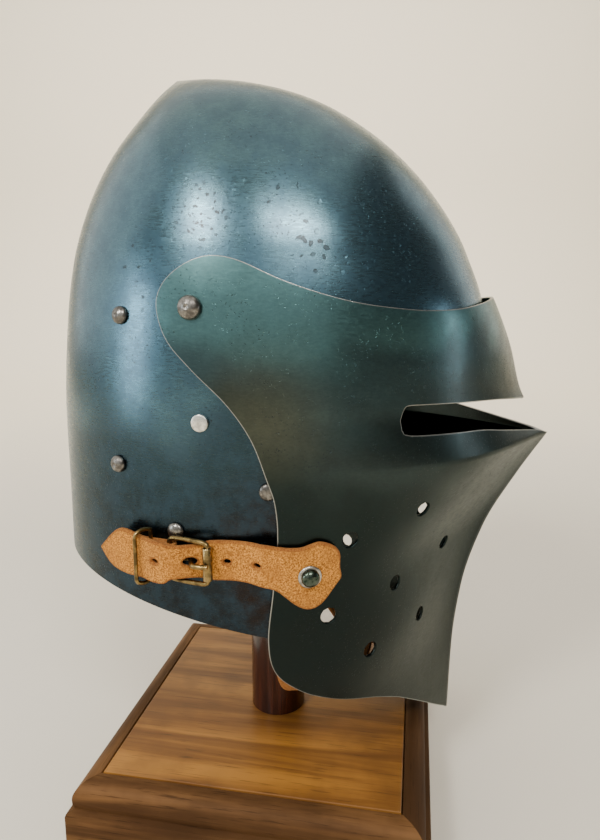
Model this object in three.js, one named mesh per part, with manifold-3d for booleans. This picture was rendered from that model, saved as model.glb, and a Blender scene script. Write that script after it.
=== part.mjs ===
// A visored bascinet of blued steel on a turned post and a square moulded block.
// Millimetres, +Z up, origin at the middle of the block's underside. The face looks along -Y
// and the wearer's right is -X.
// Helmet measures are given as forward (towards the face), side (towards the wearer's right)
// and level (height above the brow line).
import * as THREE from 'three';
import { mergeVertices } from 'three/addons/utils/BufferGeometryUtils.js';
import Module from 'manifold-3d';

const wasm = await Module();
wasm.setup();

// Heights and clearances
const BLOCK_HEIGHT = 38;
const BROW_LEVEL = BLOCK_HEIGHT + 257;
const GAP = 0.3;
const CLEAR_OF_HELMET = 300;

// Sheet metal and leather
const STEEL = 2;
const LEATHER = 3;
const CHAPE_LEATHER = 4;
const STRAP_WIDTH = 20.2;
const STRAP_WAIST = 17.1;

// The skull, one row for each ring: front and rear points of the ring in the middle plane,
// and half the ring's width. 'along' runs from the apex to the lower edge.
const SKULL_RINGS = [
  { along: 0.00, frontForward: -53.5, frontLevel: 119, rearForward: -53.5, rearLevel: 119, half: 0 },
  { along: 0.06, frontForward: -18, frontLevel: 115.5, rearForward: -64, rearLevel: 107, half: 24 },
  { along: 0.14, frontForward: 20, frontLevel: 106.5, rearForward: -74.5, rearLevel: 94, half: 45 },
  { along: 0.25, frontForward: 56.5, frontLevel: 87, rearForward: -90.5, rearLevel: 73, half: 64 },
  { along: 0.37, frontForward: 88, frontLevel: 57, rearForward: -103.5, rearLevel: 48, half: 79 },
  { along: 0.49, frontForward: 108, frontLevel: 25, rearForward: -112.5, rearLevel: 20, half: 88.5 },
  { along: 0.62, frontForward: 119, frontLevel: -10, rearForward: -118, rearLevel: -15, half: 94 },
  { along: 0.75, frontForward: 120, frontLevel: -55, rearForward: -121.5, rearLevel: -60, half: 94.6 },
  { along: 0.88, frontForward: 118, frontLevel: -105, rearForward: -122, rearLevel: -105, half: 92.6 },
  { along: 1.00, frontForward: 114, frontLevel: -188, rearForward: -122.5, rearLevel: -137.5, half: 90.8 },
];
const SKULL_RING_COUNT = 15;
const SKULL_SIDES = 40;
// The first ring sits a little off the apex, and the rings lie closer together near it
const FIRST_RING = 0.018;
const RING_CROWDING = 1.15;
// Inside the apex the steel is thicker than elsewhere
const APEX_STEEL = 4.8;
const APEX_SHIFT = 3;

// Edge of the face opening from the brow to the lower edge, seen from the side: forward, level
const FACE_OPENING = [[110, -38], [90, -39.5], [70, -42], [58, -48], [52, -60], [44, -84], [36, -106],
  [25, -140], [19, -176]];

// The visor, one row for each level: the keel's place, half the angle between the two flanks at
// the keel, how far the flank keeps that angle and how far it keeps square at the cheek
// (shares of the half width and of the keel's place), and its half width over the cheeks.
const LIP_LEVEL = -77.7;
const VISOR_LEVELS = [
  { level: 30, keel: 108, flankAngle: 80, keelReach: 0.54, cheekReach: 0.56, halfWidth: 91 },
  { level: 0, keel: 127.5, flankAngle: 78, keelReach: 0.54, cheekReach: 0.58, halfWidth: 96.2 },
  { level: -25, keel: 138.3, flankAngle: 70, keelReach: 0.50, cheekReach: 0.57, halfWidth: 97.8 },
  { level: -52, keel: 146.2, flankAngle: 62, keelReach: 0.48, cheekReach: 0.56, halfWidth: 99 },
  { level: LIP_LEVEL, keel: 164.1, flankAngle: 47, keelReach: 0.55, cheekReach: 0.60, halfWidth: 99.2 },
  { level: -101.8, keel: 147.8, flankAngle: 40, keelReach: 0.48, cheekReach: 0.55, halfWidth: 99 },
  { level: -137, keel: 127.9, flankAngle: 33, keelReach: 0.45, cheekReach: 0.48, halfWidth: 97.6 },
  { level: -176, keel: 116.2, flankAngle: 38, keelReach: 0.42, cheekReach: 0.58, halfWidth: 94.2 },
  { level: -215, keel: 111.8, flankAngle: 44, keelReach: 0.42, cheekReach: 0.50, halfWidth: 89 },
  { level: -265, keel: 110.6, flankAngle: 52, keelReach: 0.42, cheekReach: 0.43, halfWidth: 84 },
];
const TEMPLE_RADIUS = 118;
const VISOR_CUTS = [26, 12, -4, -22, -40, -58, LIP_LEVEL, -88, -102, -120, -140, -162, -186, -212,
  -238, -264];
const FLANK_STEPS = 12;
const TEMPLE_STEPS = 4;
const TEMPLE_SHARE = 0.36;

// The visor's outline from the side: forward, level
const VISOR_OUTLINE = [[150, 8], [121.5, 2.1], [107, -1], [92.6, -3.4], [75, -4], [59.7, -3], [40.8, -0.5],
  [22.9, 3.9], [5.3, 9.9], [-12, 17.6], [-23, 20.1], [-32, 19], [-41.4, 14.3], [-48.6, 7.1], [-51.3, -2.8],
  [-46.8, -17.3], [-35.3, -30.5], [-19.4, -45.8], [-8.4, -61.7], [-1.4, -80.3], [2.3, -92.3],
  [3.4, -109.5], [1.2, -134.8], [-1.4, -161.7], [1.8, -179.7], [14.1, -191.3], [29.5, -199.3],
  [52.1, -209.6], [67.2, -220], [76.8, -228.7], [90.8, -242.6], [100, -252.1], [110.6, -262.5], [126, -278]];

// The eye slot's two edges, seen from the side
const SLOT_UPPER = [[61.2, -55], [63.5, -49], [68, -48.4], [93.7, -49.8], [118, -51.8], [142, -55.7],
  [190, -64]];
const SLOT_LOWER = [[190, -84], [163.8, -77.6], [155.9, -74.8], [126.3, -68.4], [108.7, -64.9],
  [93.7, -63.7], [67, -62.2], [62.4, -60.5]];

// Breath holes in the right cheek; the left cheek has the same ones
const BREATH_DIAMETER = 8.4;
const BREATH_HOLES = [
  { forward: 38.1, level: -111.5 },
  { forward: 28.2, level: -150.6 },
  { forward: 75.9, level: -102.6 },
  { forward: 64.0, level: -145.0 },
  { forward: 50.4, level: -176.5 },
  { forward: 96.8, level: -136.2 },
  { forward: 82.1, level: -174.4 },
];

// Rivets: head diameter and height, shank diameter
const RIVET_SIDES = 10;
const BEHIND_SHEET = 0.6;
const PIVOT = { head: 11.2, rise: 4.4, shank: 6.4 };
const RIVET = { head: 8.6, rise: 3.2, shank: 4.8 };
const FLAT_RIVET = { head: 8.4, rise: 1.7, shank: 4.8 };
const CHIN_RIVET = { head: 8.6, rise: 2, shank: 4.8 };
const BUCKLE_RIVET = { head: 8.6, rise: 2.4, shank: 4.8 };
const STRAP_RIVET = { head: 8.8, rise: 3.2, shank: 3.6 };
const WASHER = { outer: 11.4, inner: 5.2, thick: 0.8 };
const PIVOT_PLACE = { forward: -34.7, level: -2.8 };
const STRAP_RIVET_PLACE = { forward: 17.8, level: -125.9 };
const SKULL_RIVETS = [
  { name: 'rear_rivet_upper', forward: -70.3, level: -6.5, kind: RIVET },
  { name: 'rear_rivet_lower', forward: -74.7, level: -78.4, kind: RIVET },
  { name: 'bright_rivet', forward: -31.6, level: -54.9, kind: FLAT_RIVET },
  { name: 'chin_rivet', forward: -0.7, level: -87.3, kind: CHIN_RIVET, depth: 5.8 },
  { name: 'buckle_rivet', forward: -45.6, level: -108.9, kind: BUCKLE_RIVET },
];

// Visor strap and buckle, in the level plane STRAP_LEVEL
const STRAP_LEVEL = -121.2;
const STRAP_SIDE = [[-82, -120.9], [-71.2, -109.2], [-60, -110.6], [-48, -111.6], [-43.5, -112.7],
  [-33, -112.7], [-27, -111], [-12, -110.7], [-2.4, -110.8], [4, -111.8], [13.5, -112.2], [18.3, -110.8],
  [23, -109.8], [29, -112.3], [32, -116.5], [32.3, -124], [33, -128.8], [30.4, -133], [25, -140.4],
  [20.5, -143.5], [16, -143.6], [11.5, -141], [3.4, -134], [-4, -131.8], [-16, -130.9], [-27, -131],
  [-33, -129.8], [-43.5, -129.8], [-48, -132.2], [-60, -132.2], [-69, -131.6], [-76.2, -128.5]];
const STRAP_TAIL = -81;
const STRAP_FRONT = 34;
const HEEL_BAR = -47.1;
const ROLLER_BAR = -27.9;
const KEEPER_PLACE = -60.5;
const KEEPER_LEAN = 0.35;
const CHAPE_REAR = -69;
const CHAPE_INSET = 2.4;
const FRAME_CLEARANCE = 0.6;
const WIRE = 2.4;
const ROLLER_OUTER = 4.6;
const ROLLER_HALF = 8.1;
const BAR_LIFT = 4.4;
const ROLLER_LIFT = 7.9;
const CHAPE_LIFT = 0.6;
const KEEPER_WIRE = 2;
const KEEPER_BACK = 2.6;
const TONGUE = 2.4;
const STRAP_HOLES = [-51.5, -20, -6.1];
const TONGUE_HOLE = -36.1;
const TONGUE_HOLE_DIAMETER = 4.8;
const STRAP_HOLE_DIAMETER = 2.6;

// Chin strap: its centre line from the right rivet to the middle plane, as side, forward, level
const CHIN_STRAP_WIDTH = 20;
const CHIN_STRAP_ROUTE = [[88.8, -0.7, -77], [88.5, -0.6, -88], [87.9, 0.4, -100], [86.5, 3, -130],
  [85.4, 7, -158], [84.2, 11, -180], [80, 15.5, -195], [66, 25, -203], [36, 42, -207.5], [0, 50, -209]];
const CHIN_STRAP_STEPS = 40;
const CHIN_STRAP_LEATHER = 2.4;

// Stand
const POST_DIAMETER = 33.9;
const POST_TOP = BROW_LEVEL + 107.9;
const POST_DOME = 9;
const POST_SIDES = 24;
const BLOCK_SIDE = 164;
const BLOCK_TURN = THREE.MathUtils.degToRad(-10.3);
// Moulding round the block from the top board outward: out from the board's edge, down from its top
const MOULDING = [[0, 0], [0, 1.3], [0.9, 1.3], [0.9, 0.2], [5, 0.7], [8.5, 2.3], [11, 4.8], [12.4, 8],
  [12.4, 12.6], [11.8, 13.8], [11.8, 15.2], [15, 16.4], [15.6, 18], [15.6, 36.5], [14.4, BLOCK_HEIGHT]];

const FINISHES = {
  skullSteel: { color: 0x1f3b49, roughness: 0.34, metalness: 1 },
  visorSteel: { color: 0x22393c, roughness: 0.38, metalness: 1 },
  darkRivet: { color: 0x3c3c3b, roughness: 0.4, metalness: 1 },
  brightRivet: { color: 0xa9a294, roughness: 0.35, metalness: 1 },
  ring: { color: 0xb9b7a6, roughness: 0.3, metalness: 1 },
  brass: { color: 0x6d5a35, roughness: 0.35, metalness: 1 },
  leather: { color: 0xb8742f, roughness: 0.95, metalness: 0 },
  walnut: { color: 0x6b4325, roughness: 0.45, metalness: 0 },
  darkWood: { color: 0x3a160c, roughness: 0.3, metalness: 0 },
};

const part = new THREE.Group();

function addMesh(name, geometry, finish) {
  const body = facingOut(welded(geometry));
  const mesh = new THREE.Mesh(body, new THREE.MeshStandardMaterial(FINISHES[finish]));
  mesh.name = name;
  part.add(mesh);
  return mesh;
}

// A point of the helmet in the part's own axes
function place(forward, side, level) {
  return new THREE.Vector3(-side, -forward, BROW_LEVEL + level);
}

// Smooth curve through the rows of a table that never swings past a row's value
function smoothColumn(rows, key, column) {
  const x = rows.map((row) => row[key]);
  const y = rows.map((row) => row[column]);
  const last = x.length - 1;
  const step = x.slice(1).map((value, i) => value - x[i]);
  const rise = step.map((value, i) => (y[i + 1] - y[i]) / value);
  const slope = x.map((_, i) => {
    if (i === 0 || i === last) return rise[Math.min(i, last - 1)];
    if (rise[i - 1] * rise[i] <= 0) return 0;
    const before = 2 * step[i] + step[i - 1];
    const after = step[i] + 2 * step[i - 1];
    return (before + after) / (before / rise[i - 1] + after / rise[i]);
  });
  return (at) => {
    let i = 0;
    while (i < last - 1 && at > x[i + 1]) i += 1;
    const t = THREE.MathUtils.clamp((at - x[i]) / step[i], 0, 1);
    const startWeight = (1 + 2 * t) * (1 - t) * (1 - t);
    const endWeight = t * t * (3 - 2 * t);
    const bend = t * (1 - t) * ((1 - t) * slope[i] - t * slope[i + 1]) * step[i];
    return startWeight * y[i] + endWeight * y[i + 1] + bend;
  };
}

// Turns a list of points and triangles into a closed body with its faces outward
function bodyFrom(points, triangles) {
  const geometry = new THREE.BufferGeometry();
  geometry.setAttribute('position', new THREE.Float32BufferAttribute(points.flatMap((p) => p.toArray()), 3));
  geometry.setIndex(triangles.flat());
  return facingOut(geometry);
}

function signedVolume(geometry) {
  const position = geometry.getAttribute('position');
  const index = geometry.index.array;
  const corner = [0, 1, 2].map(() => new THREE.Vector3());
  let volume = 0;
  for (let i = 0; i < index.length; i += 3) {
    corner.forEach((point, k) => point.fromBufferAttribute(position, index[i + k]));
    volume += corner[0].dot(corner[1].clone().cross(corner[2])) / 6;
  }
  return volume;
}

function facingOut(geometry) {
  if (signedVolume(geometry) > 0) return geometry;
  const index = Array.from(geometry.index.array);
  for (let i = 0; i < index.length; i += 3) {
    [index[i], index[i + 1]] = [index[i + 1], index[i]];
  }
  geometry.setIndex(index);
  return geometry;
}

function welded(geometry) {
  const plain = geometry.clone();
  plain.deleteAttribute('normal');
  plain.deleteAttribute('uv');
  return mergeVertices(plain, 1e-4);
}

function toSolid(geometry) {
  const clean = facingOut(welded(geometry));
  return new wasm.Manifold(new wasm.Mesh({
    numProp: 3,
    vertProperties: new Float32Array(clean.getAttribute('position').array),
    triVerts: new Uint32Array(clean.index.array),
  }));
}

function toGeometry(solid) {
  const mesh = solid.getMesh();
  const geometry = new THREE.BufferGeometry();
  geometry.setAttribute('position', new THREE.BufferAttribute(new Float32Array(mesh.vertProperties), 3));
  geometry.setIndex(Array.from(mesh.triVerts));
  return geometry;
}

function cutAll(geometry, cutters) {
  const cut = cutters.reduce((solid, cutter) => solid.subtract(toSolid(cutter)), toSolid(geometry));
  return toGeometry(cut);
}

function joinAll(geometries) {
  const solids = geometries.map((geometry) => toSolid(geometry));
  return toGeometry(solids.reduce((joined, solid) => joined.add(solid)));
}

function mirrored(geometry) {
  const copy = welded(geometry).scale(-1, 1, 1);
  return facingOut(copy);
}

// The same piece on both sides of the helmet
function addPair(name, geometry, finish) {
  addMesh(`${name}_right`, geometry, finish);
  addMesh(`${name}_left`, mirrored(geometry), finish);
}

// Skins a list of rings that all have the same number of points
function skin(rings, { closeRings, closeStack, capEnds }) {
  const width = rings[0].length;
  const points = rings.flat();
  const triangles = [];
  const ringSteps = closeRings ? width : width - 1;
  const stackSteps = closeStack ? rings.length : rings.length - 1;
  for (let row = 0; row < stackSteps; row += 1) {
    const next = (row + 1) % rings.length;
    for (let i = 0; i < ringSteps; i += 1) {
      const j = (i + 1) % width;
      const [a, b, c, d] = [row * width + i, row * width + j, next * width + j, next * width + i];
      triangles.push([a, b, c], [a, c, d]);
    }
  }
  if (capEnds) capEnds(points, triangles, width, rings.length);
  return bodyFrom(points, triangles);
}

// A prism across the whole helmet with the given side outline
function sidePrism(outline, halfDepth, centre = 0) {
  const corners = outline.map(([forward, level]) => new THREE.Vector2(-forward, BROW_LEVEL + level));
  const shape = new THREE.Shape(corners);
  const prism = new THREE.ExtrudeGeometry(shape, { depth: 2 * halfDepth, bevelEnabled: false });
  const turn = new THREE.Matrix4().makeBasis(
    new THREE.Vector3(0, 1, 0), new THREE.Vector3(0, 0, 1), new THREE.Vector3(1, 0, 0));
  return prism.applyMatrix4(turn).translate(centre - halfDepth, 0, 0);
}

function smoothOutline(corners, count) {
  const curve = new THREE.SplineCurve(corners.map(([a, b]) => new THREE.Vector2(a, b)));
  return curve.getSpacedPoints(count).map((point) => point.toArray());
}

// The skull's surface: 'inset' thins it towards the inside
function skullRing(along, inset) {
  const frontForward = skullColumns.frontForward(along) - inset;
  const rearForward = skullColumns.rearForward(along) + inset;
  const drop = inset * (1 - along);
  const frontLevel = skullColumns.frontLevel(along) - drop;
  const rearLevel = skullColumns.rearLevel(along) - drop;
  const half = skullColumns.half(along) - inset;
  return (turn) => {
    const swing = Math.cos(turn) / 2;
    return {
      forward: (frontForward + rearForward) / 2 + (frontForward - rearForward) * swing,
      side: half * Math.sin(turn),
      level: (frontLevel + rearLevel) / 2 + (frontLevel - rearLevel) * swing,
    };
  };
}

const skullColumns = {};
for (const column of ['frontForward', 'frontLevel', 'rearForward', 'rearLevel', 'half']) {
  skullColumns[column] = smoothColumn(SKULL_RINGS, 'along', column);
}

// The skull's surface at a place seen from the side, with the direction that faces away from it
function onSkull(forward, level) {
  const [height, depth] = [330, 150];
  let along = 0.6;
  let turn = Math.PI / 2;
  for (let pass = 0; pass < 60; pass += 1) {
    const here = skullRing(along, 0)(turn);
    along = THREE.MathUtils.clamp(along + (here.level - level) / height, 0.02, 1);
    turn = THREE.MathUtils.clamp(turn + (here.forward - forward) / depth, 0.1, Math.PI - 0.1);
  }
  const at = (a, b) => {
    const spot = skullRing(a, 0)(b);
    return place(spot.forward, spot.side, spot.level);
  };
  const acrossEdge = at(along, turn + 0.01).sub(at(along, turn - 0.01));
  const downEdge = at(Math.min(along + 0.01, 1), turn).sub(at(along - 0.01, turn));
  const outward = acrossEdge.cross(downEdge).normalize();
  if (outward.x > 0) outward.negate();
  return { point: at(along, turn), outward };
}

function skullShell() {
  const steps = Array.from({ length: SKULL_RING_COUNT }, (_, i) => {
    const share = (i / (SKULL_RING_COUNT - 1)) ** RING_CROWDING;
    return THREE.MathUtils.lerp(FIRST_RING, 1, share);
  });
  const ringAt = (along, inset) => Array.from({ length: SKULL_SIDES }, (_, i) => {
    const spot = skullRing(along, inset)((2 * Math.PI * i) / SKULL_SIDES);
    return place(spot.forward, spot.side, spot.level);
  });
  const outer = steps.map((along) => ringAt(along, 0));
  const inner = steps.slice(1).reverse().map((along) => ringAt(along, STEEL));
  const apex = SKULL_RINGS[0];
  return skin([...outer, ...inner], {
    closeRings: true,
    capEnds: (points, triangles, width, count) => {
      const outerTip = points.push(place(apex.frontForward, 0, apex.frontLevel)) - 1;
      const innerTip = points.push(
        place(apex.frontForward + APEX_SHIFT, 0, apex.frontLevel - APEX_STEEL)) - 1;
      for (let i = 0; i < width; i += 1) {
        const j = (i + 1) % width;
        const last = (count - 1) * width;
        triangles.push([outerTip, j, i], [innerTip, last + i, last + j]);
      }
    },
  });
}

const visorColumns = {};
for (const column of ['flankAngle', 'keelReach', 'cheekReach', 'halfWidth']) {
  visorColumns[column] = smoothColumn([...VISOR_LEVELS].reverse(), 'level', column);
}
// The keel has a sharp corner at the lip
const rowsAbove = VISOR_LEVELS.filter((row) => row.level >= LIP_LEVEL).reverse();
const rowsBelow = VISOR_LEVELS.filter((row) => row.level <= LIP_LEVEL).reverse();
const keelAboveLip = smoothColumn(rowsAbove, 'level', 'keel');
const keelBelowLip = smoothColumn(rowsBelow, 'level', 'keel');

// A level cut through the visor's sheet: 0 at the keel, 1 at the widest place, more towards the temple
function visorCut(level, inset) {
  const angle = THREE.MathUtils.degToRad(visorColumns.flankAngle(level));
  const keelLine = level > LIP_LEVEL ? keelAboveLip(level) : keelBelowLip(level);
  const keel = keelLine - inset / Math.sin(angle);
  const halfWidth = visorColumns.halfWidth(level) - inset;
  const reach = visorColumns.keelReach(level) * halfWidth;
  const flank = new THREE.CubicBezierCurve(
    new THREE.Vector2(keel, 0),
    new THREE.Vector2(keel - reach * Math.cos(angle), reach * Math.sin(angle)),
    new THREE.Vector2(visorColumns.cheekReach(level) * keel, halfWidth),
    new THREE.Vector2(0, halfWidth));
  return (share) => {
    if (share <= 1) return flank.getPoint(Math.max(share, 0));
    const turn = ((share - 1) * Math.PI) / 2;
    return new THREE.Vector2(-(TEMPLE_RADIUS - inset) * Math.sin(turn), halfWidth * Math.cos(turn));
  };
}

// The visor's surface at a place seen from the side, with the direction that faces away from it
function onVisor(forward, level) {
  const at = (share, height) => {
    const spot = visorCut(height, 0)(share);
    return place(spot.x, spot.y, height);
  };
  let low = 0;
  let high = 1.6;
  for (let pass = 0; pass < 40; pass += 1) {
    const middle = (low + high) / 2;
    if (visorCut(level, 0)(middle).x > forward) low = middle;
    else high = middle;
  }
  const acrossEdge = at(low + 0.01, level).sub(at(low - 0.01, level));
  const downEdge = at(low, level - 1).sub(at(low, level + 1));
  const outward = acrossEdge.cross(downEdge).normalize();
  if (outward.x > 0) outward.negate();
  return { point: at(low, level), outward };
}

function visorSheet() {
  const shares = [
    ...Array.from({ length: FLANK_STEPS }, (_, i) => i / FLANK_STEPS),
    ...Array.from({ length: TEMPLE_STEPS + 1 }, (_, i) => 1 + (TEMPLE_SHARE * i) / TEMPLE_STEPS),
  ];
  const loops = VISOR_CUTS.map((level) => {
    const half = (inset, sign, list) => list.map((share) => {
      const spot = visorCut(level, inset)(share);
      return place(spot.x, sign * spot.y, level);
    });
    const fromTemple = [...shares].reverse();
    return [
      ...half(0, 1, fromTemple), ...half(0, -1, shares.slice(1)),
      ...half(STEEL, -1, fromTemple), ...half(STEEL, 1, shares.slice(1)),
    ];
  });
  return skin(loops, {
    closeRings: true,
    capEnds: (points, triangles, width, count) => {
      for (const start of [0, (count - 1) * width]) {
        const flip = start === 0;
        for (let i = 0; i < width / 2 - 1; i += 1) {
          const [a, b, c, d] = [start + i, start + i + 1, start + width - 2 - i, start + width - 1 - i];
          triangles.push(flip ? [a, c, b] : [a, b, c], flip ? [a, d, c] : [a, c, d]);
        }
      }
    },
  });
}

// A round cutter or pin standing on a surface
function standing(geometry, { point, outward }, lift = 0) {
  const turn = new THREE.Quaternion().setFromUnitVectors(new THREE.Vector3(0, 0, 1), outward);
  return geometry.applyQuaternion(turn).translate(...point.clone().addScaledVector(outward, lift).toArray());
}

// A turned body: its profile is a list of radius and height
function lathe(profile, sides) {
  const line = profile.map(([radius, height]) => new THREE.Vector2(radius, height));
  return new THREE.LatheGeometry(line, sides).rotateX(Math.PI / 2);
}

function pin(diameter, from, to, sides = 10) {
  return lathe([[0, from], [diameter / 2, from], [diameter / 2, to], [0, to]], sides);
}

const cheekHole = ({ forward, level }) => standing(pin(BREATH_DIAMETER, -8, 8), onVisor(forward, level));
const bothSides = (geometry) => [geometry, mirrored(geometry)];
const shankHole = (seat, shank) => standing(pin(shank + 4 * GAP, -10, 10, 8), seat);

// A rivet: domed or flat head over the sheet, a shank through it and a hammered end behind it
function rivet(kind, depth, { flat = false, endHeight = 1.2 } = {}) {
  const radius = kind.head / 2;
  const shank = kind.shank / 2;
  const edge = kind.rise * 0.16;
  const dome = [0.42, 0.78].map((t) => [
    radius * Math.sin((t * Math.PI) / 2), edge + (kind.rise - edge) * Math.cos((t * Math.PI) / 2)]);
  const disc = [[radius - 0.3, kind.rise], [radius, kind.rise - 0.35]];
  const head = flat ? disc : [...dome, [radius, edge]];
  const back = -depth - BEHIND_SHEET - GAP;
  const profile = [[0, kind.rise], ...head, [radius, 0], [shank, 0], [shank, back], [shank + 1.3, back],
    [shank + 1, back - endHeight], [0, back - endHeight]];
  return lathe(profile, RIVET_SIDES);
}

// A closed flat loop of wire, with a round section at each of its points
function wireLoop(points, diameter, sides = 6) {
  const count = points.length;
  const faceOf = points[0].clone().sub(points[Math.round(count / 3)])
    .cross(points[0].clone().sub(points[Math.round((2 * count) / 3)])).normalize();
  const rings = points.map((centre, i) => {
    const tangent = points[(i + 1) % count].clone().sub(points[(i + count - 1) % count]).normalize();
    const across = tangent.clone().cross(faceOf).normalize();
    return Array.from({ length: sides }, (_, k) => {
      const turn = (2 * Math.PI * (k + 0.5)) / sides;
      return centre.clone()
        .addScaledVector(across, (diameter / 2) * Math.cos(turn))
        .addScaledVector(faceOf, (diameter / 2) * Math.sin(turn));
    });
  });
  return skin(rings, { closeRings: true, closeStack: true });
}

// A round rod through the given points
function rod(points, diameter, sides = 6) {
  const section = new THREE.Shape().absarc(0, 0, diameter / 2, 0, 2 * Math.PI, false);
  const corners = section.getSpacedPoints(sides).slice(0, sides);
  return new THREE.ExtrudeGeometry(new THREE.Shape(corners), {
    steps: points.length * 2, bevelEnabled: false, extrudePath: new THREE.CatmullRomCurve3(points),
  });
}

// Plan curve of the strap: distance of its inner face from the skull, up to the visor's rear edge
const STRAP_LIFTS = [
  { forward: -84, lift: 5.2 },
  { forward: -71, lift: 5.4 },
  { forward: KEEPER_PLACE, lift: 5.4 },
  { forward: -53, lift: 8.0 },
  { forward: HEEL_BAR, lift: 8.9 },
  { forward: -41.5, lift: 7.2 },
  { forward: -36.4, lift: 4.3 },
  { forward: -32, lift: 2.3 },
  { forward: ROLLER_BAR, lift: 1.6 },
  { forward: -18, lift: 1.2 },
  { forward: -10, lift: 2.8 },
  { forward: -3, lift: 6.4 },
  { forward: 5, lift: 6.6 },
];
const SEAT_CHANGE = STRAP_LIFTS[STRAP_LIFTS.length - 1].forward;
const strapLift = smoothColumn(STRAP_LIFTS, 'forward', 'lift');
const VISOR_SEAT = 0.7;
const keeperFront = strapLift(KEEPER_PLACE) + LEATHER + 5 * GAP + KEEPER_WIRE / 2;

// A point beside the skull or visor at the strap's level, and the direction away from it
function strapSeat(forward) {
  const over = forward > SEAT_CHANGE;
  const { point, outward } = over ? onVisor(forward, STRAP_LEVEL) : onSkull(forward, STRAP_LEVEL);
  const flat = new THREE.Vector2(outward.x, outward.y).normalize();
  const lift = over ? VISOR_SEAT : strapLift(forward);
  return { base: new THREE.Vector2(point.x, point.y), flat, lift };
}

// A strip of leather bent in plan along the helmet's side, as wide as the given levels
function ribbon(forwards, liftAt, thick, lowLevel, highLevel) {
  const inner = [];
  const outer = [];
  for (const forward of forwards) {
    const { base, flat, lift } = strapSeat(forward);
    const away = liftAt ? liftAt(forward) : lift;
    inner.push(base.clone().addScaledVector(flat, away));
    outer.push(base.clone().addScaledVector(flat, away + thick));
  }
  const shape = new THREE.Shape([...inner, ...outer.reverse()]);
  return new THREE.ExtrudeGeometry(shape, { depth: highLevel - lowLevel, bevelEnabled: false })
    .translate(0, 0, BROW_LEVEL + lowLevel);
}

function spaced(from, to, count) {
  return Array.from({ length: count + 1 }, (_, i) => from + ((to - from) * i) / count);
}

// A point at a distance out from the skull at a place along the strap
function besideStrap(forward, away, level = STRAP_LEVEL) {
  const { base, flat } = strapSeat(forward);
  const spot = base.clone().addScaledVector(flat, away);
  return new THREE.Vector3(spot.x, spot.y, BROW_LEVEL + level);
}

function strapGeometry() {
  const strip = ribbon(spaced(STRAP_TAIL - 2, STRAP_FRONT + 2, 34), null, LEATHER, -150, -105);
  const side = sidePrism(smoothOutline([...STRAP_SIDE, STRAP_SIDE[0]], 44), 40, -80);
  const shaped = leaning(toGeometry(toSolid(strip).intersect(toSolid(side))));
  const holes = STRAP_HOLES.map((forward) => hole(forward, STRAP_HOLE_DIAMETER, STRAP_LEVEL));
  const tongueHole = hole(TONGUE_HOLE, TONGUE_HOLE_DIAMETER, STRAP_LEVEL);
  return cutAll(shaped, [...holes, tongueHole, shankHole(strapRivetSeat, STRAP_RIVET.shank)]);
}

// Leans a piece made at the strap's level so that it follows the metal above and below that level
function leaning(geometry) {
  const position = geometry.getAttribute('position');
  for (let i = 0; i < position.count; i += 1) {
    const forward = -position.getY(i);
    const onMetal = forward > SEAT_CHANGE ? onVisor : onSkull;
    const here = onMetal(forward, position.getZ(i) - BROW_LEVEL).point.x;
    const atStrapLevel = onMetal(forward, STRAP_LEVEL).point.x;
    position.setX(i, position.getX(i) + here - atStrapLevel);
  }
  return geometry;
}

function hole(forward, diameter, level) {
  const { flat } = strapSeat(forward);
  const seat = { point: besideStrap(forward, 0, level), outward: new THREE.Vector3(flat.x, flat.y, 0) };
  return standing(pin(diameter, -2, 16, 8), seat);
}

// The keeper's loop leans, its back further forward than its front
function keeperForward(away) {
  return KEEPER_PLACE + KEEPER_LEAN * (keeperFront - away);
}

// The short leather under the strap, folded double round the buckle's rear bar
function chapeGeometry() {
  const half = STRAP_WIDTH / 2 - CHAPE_INSET;
  const strip = ribbon(spaced(CHAPE_REAR, HEEL_BAR - 2, 6), () => CHAPE_LIFT, CHAPE_LEATHER,
    STRAP_LEVEL - half, STRAP_LEVEL + half);
  const { base, flat } = strapSeat(HEEL_BAR);
  const centre = base.clone().addScaledVector(flat, BAR_LIFT);
  const fold = pin(WIRE + 2 * GAP + CHAPE_LEATHER, -half, half, 12);
  const bore = pin(WIRE + 3 * GAP, -30, 30, 10);
  const beside = (geometry) => geometry.translate(centre.x, centre.y, BROW_LEVEL + STRAP_LEVEL);
  const tongueGap = new THREE.BoxGeometry(14, 11, TONGUE + 1.2);
  const keeperSeat = strapSeat(KEEPER_PLACE);
  const channel = new THREE.BoxGeometry(KEEPER_WIRE + 3 * GAP, KEEPER_WIRE + 3 * GAP, 60)
    .rotateZ(keeperSeat.flat.angle())
    .translate(...besideStrap(keeperForward(KEEPER_BACK), KEEPER_BACK).toArray());
  tongueGap.translate(0, -1.5, 0);
  return cutAll(joinAll([strip, beside(fold)]), [beside(bore), beside(tongueGap), channel]);
}

// Buckle frame: rear bar under the strap, roller bar over it
function buckleFrame() {
  const reach = STRAP_WAIST / 2 + FRAME_CLEARANCE + WIRE / 2;
  const heel = (level) => besideStrap(HEEL_BAR, BAR_LIFT, level);
  const front = (level) => besideStrap(ROLLER_BAR, ROLLER_LIFT, level);
  const along = (share, level) => heel(level).lerp(front(level), share);
  const path = [];
  for (const sign of [1, -1]) {
    const at = (share, out) => along(share, STRAP_LEVEL + sign * out);
    const side = [at(0, 5), at(0, reach - 2.2), at(0.05, reach - 0.5), at(0.16, reach), at(0.5, reach + 0.2),
      at(0.84, reach), at(0.95, reach - 0.5), at(1, reach - 1.9), at(1, 5)];
    path.push(...(sign > 0 ? side : side.reverse()));
  }
  return wireLoop(path, WIRE);
}

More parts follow.
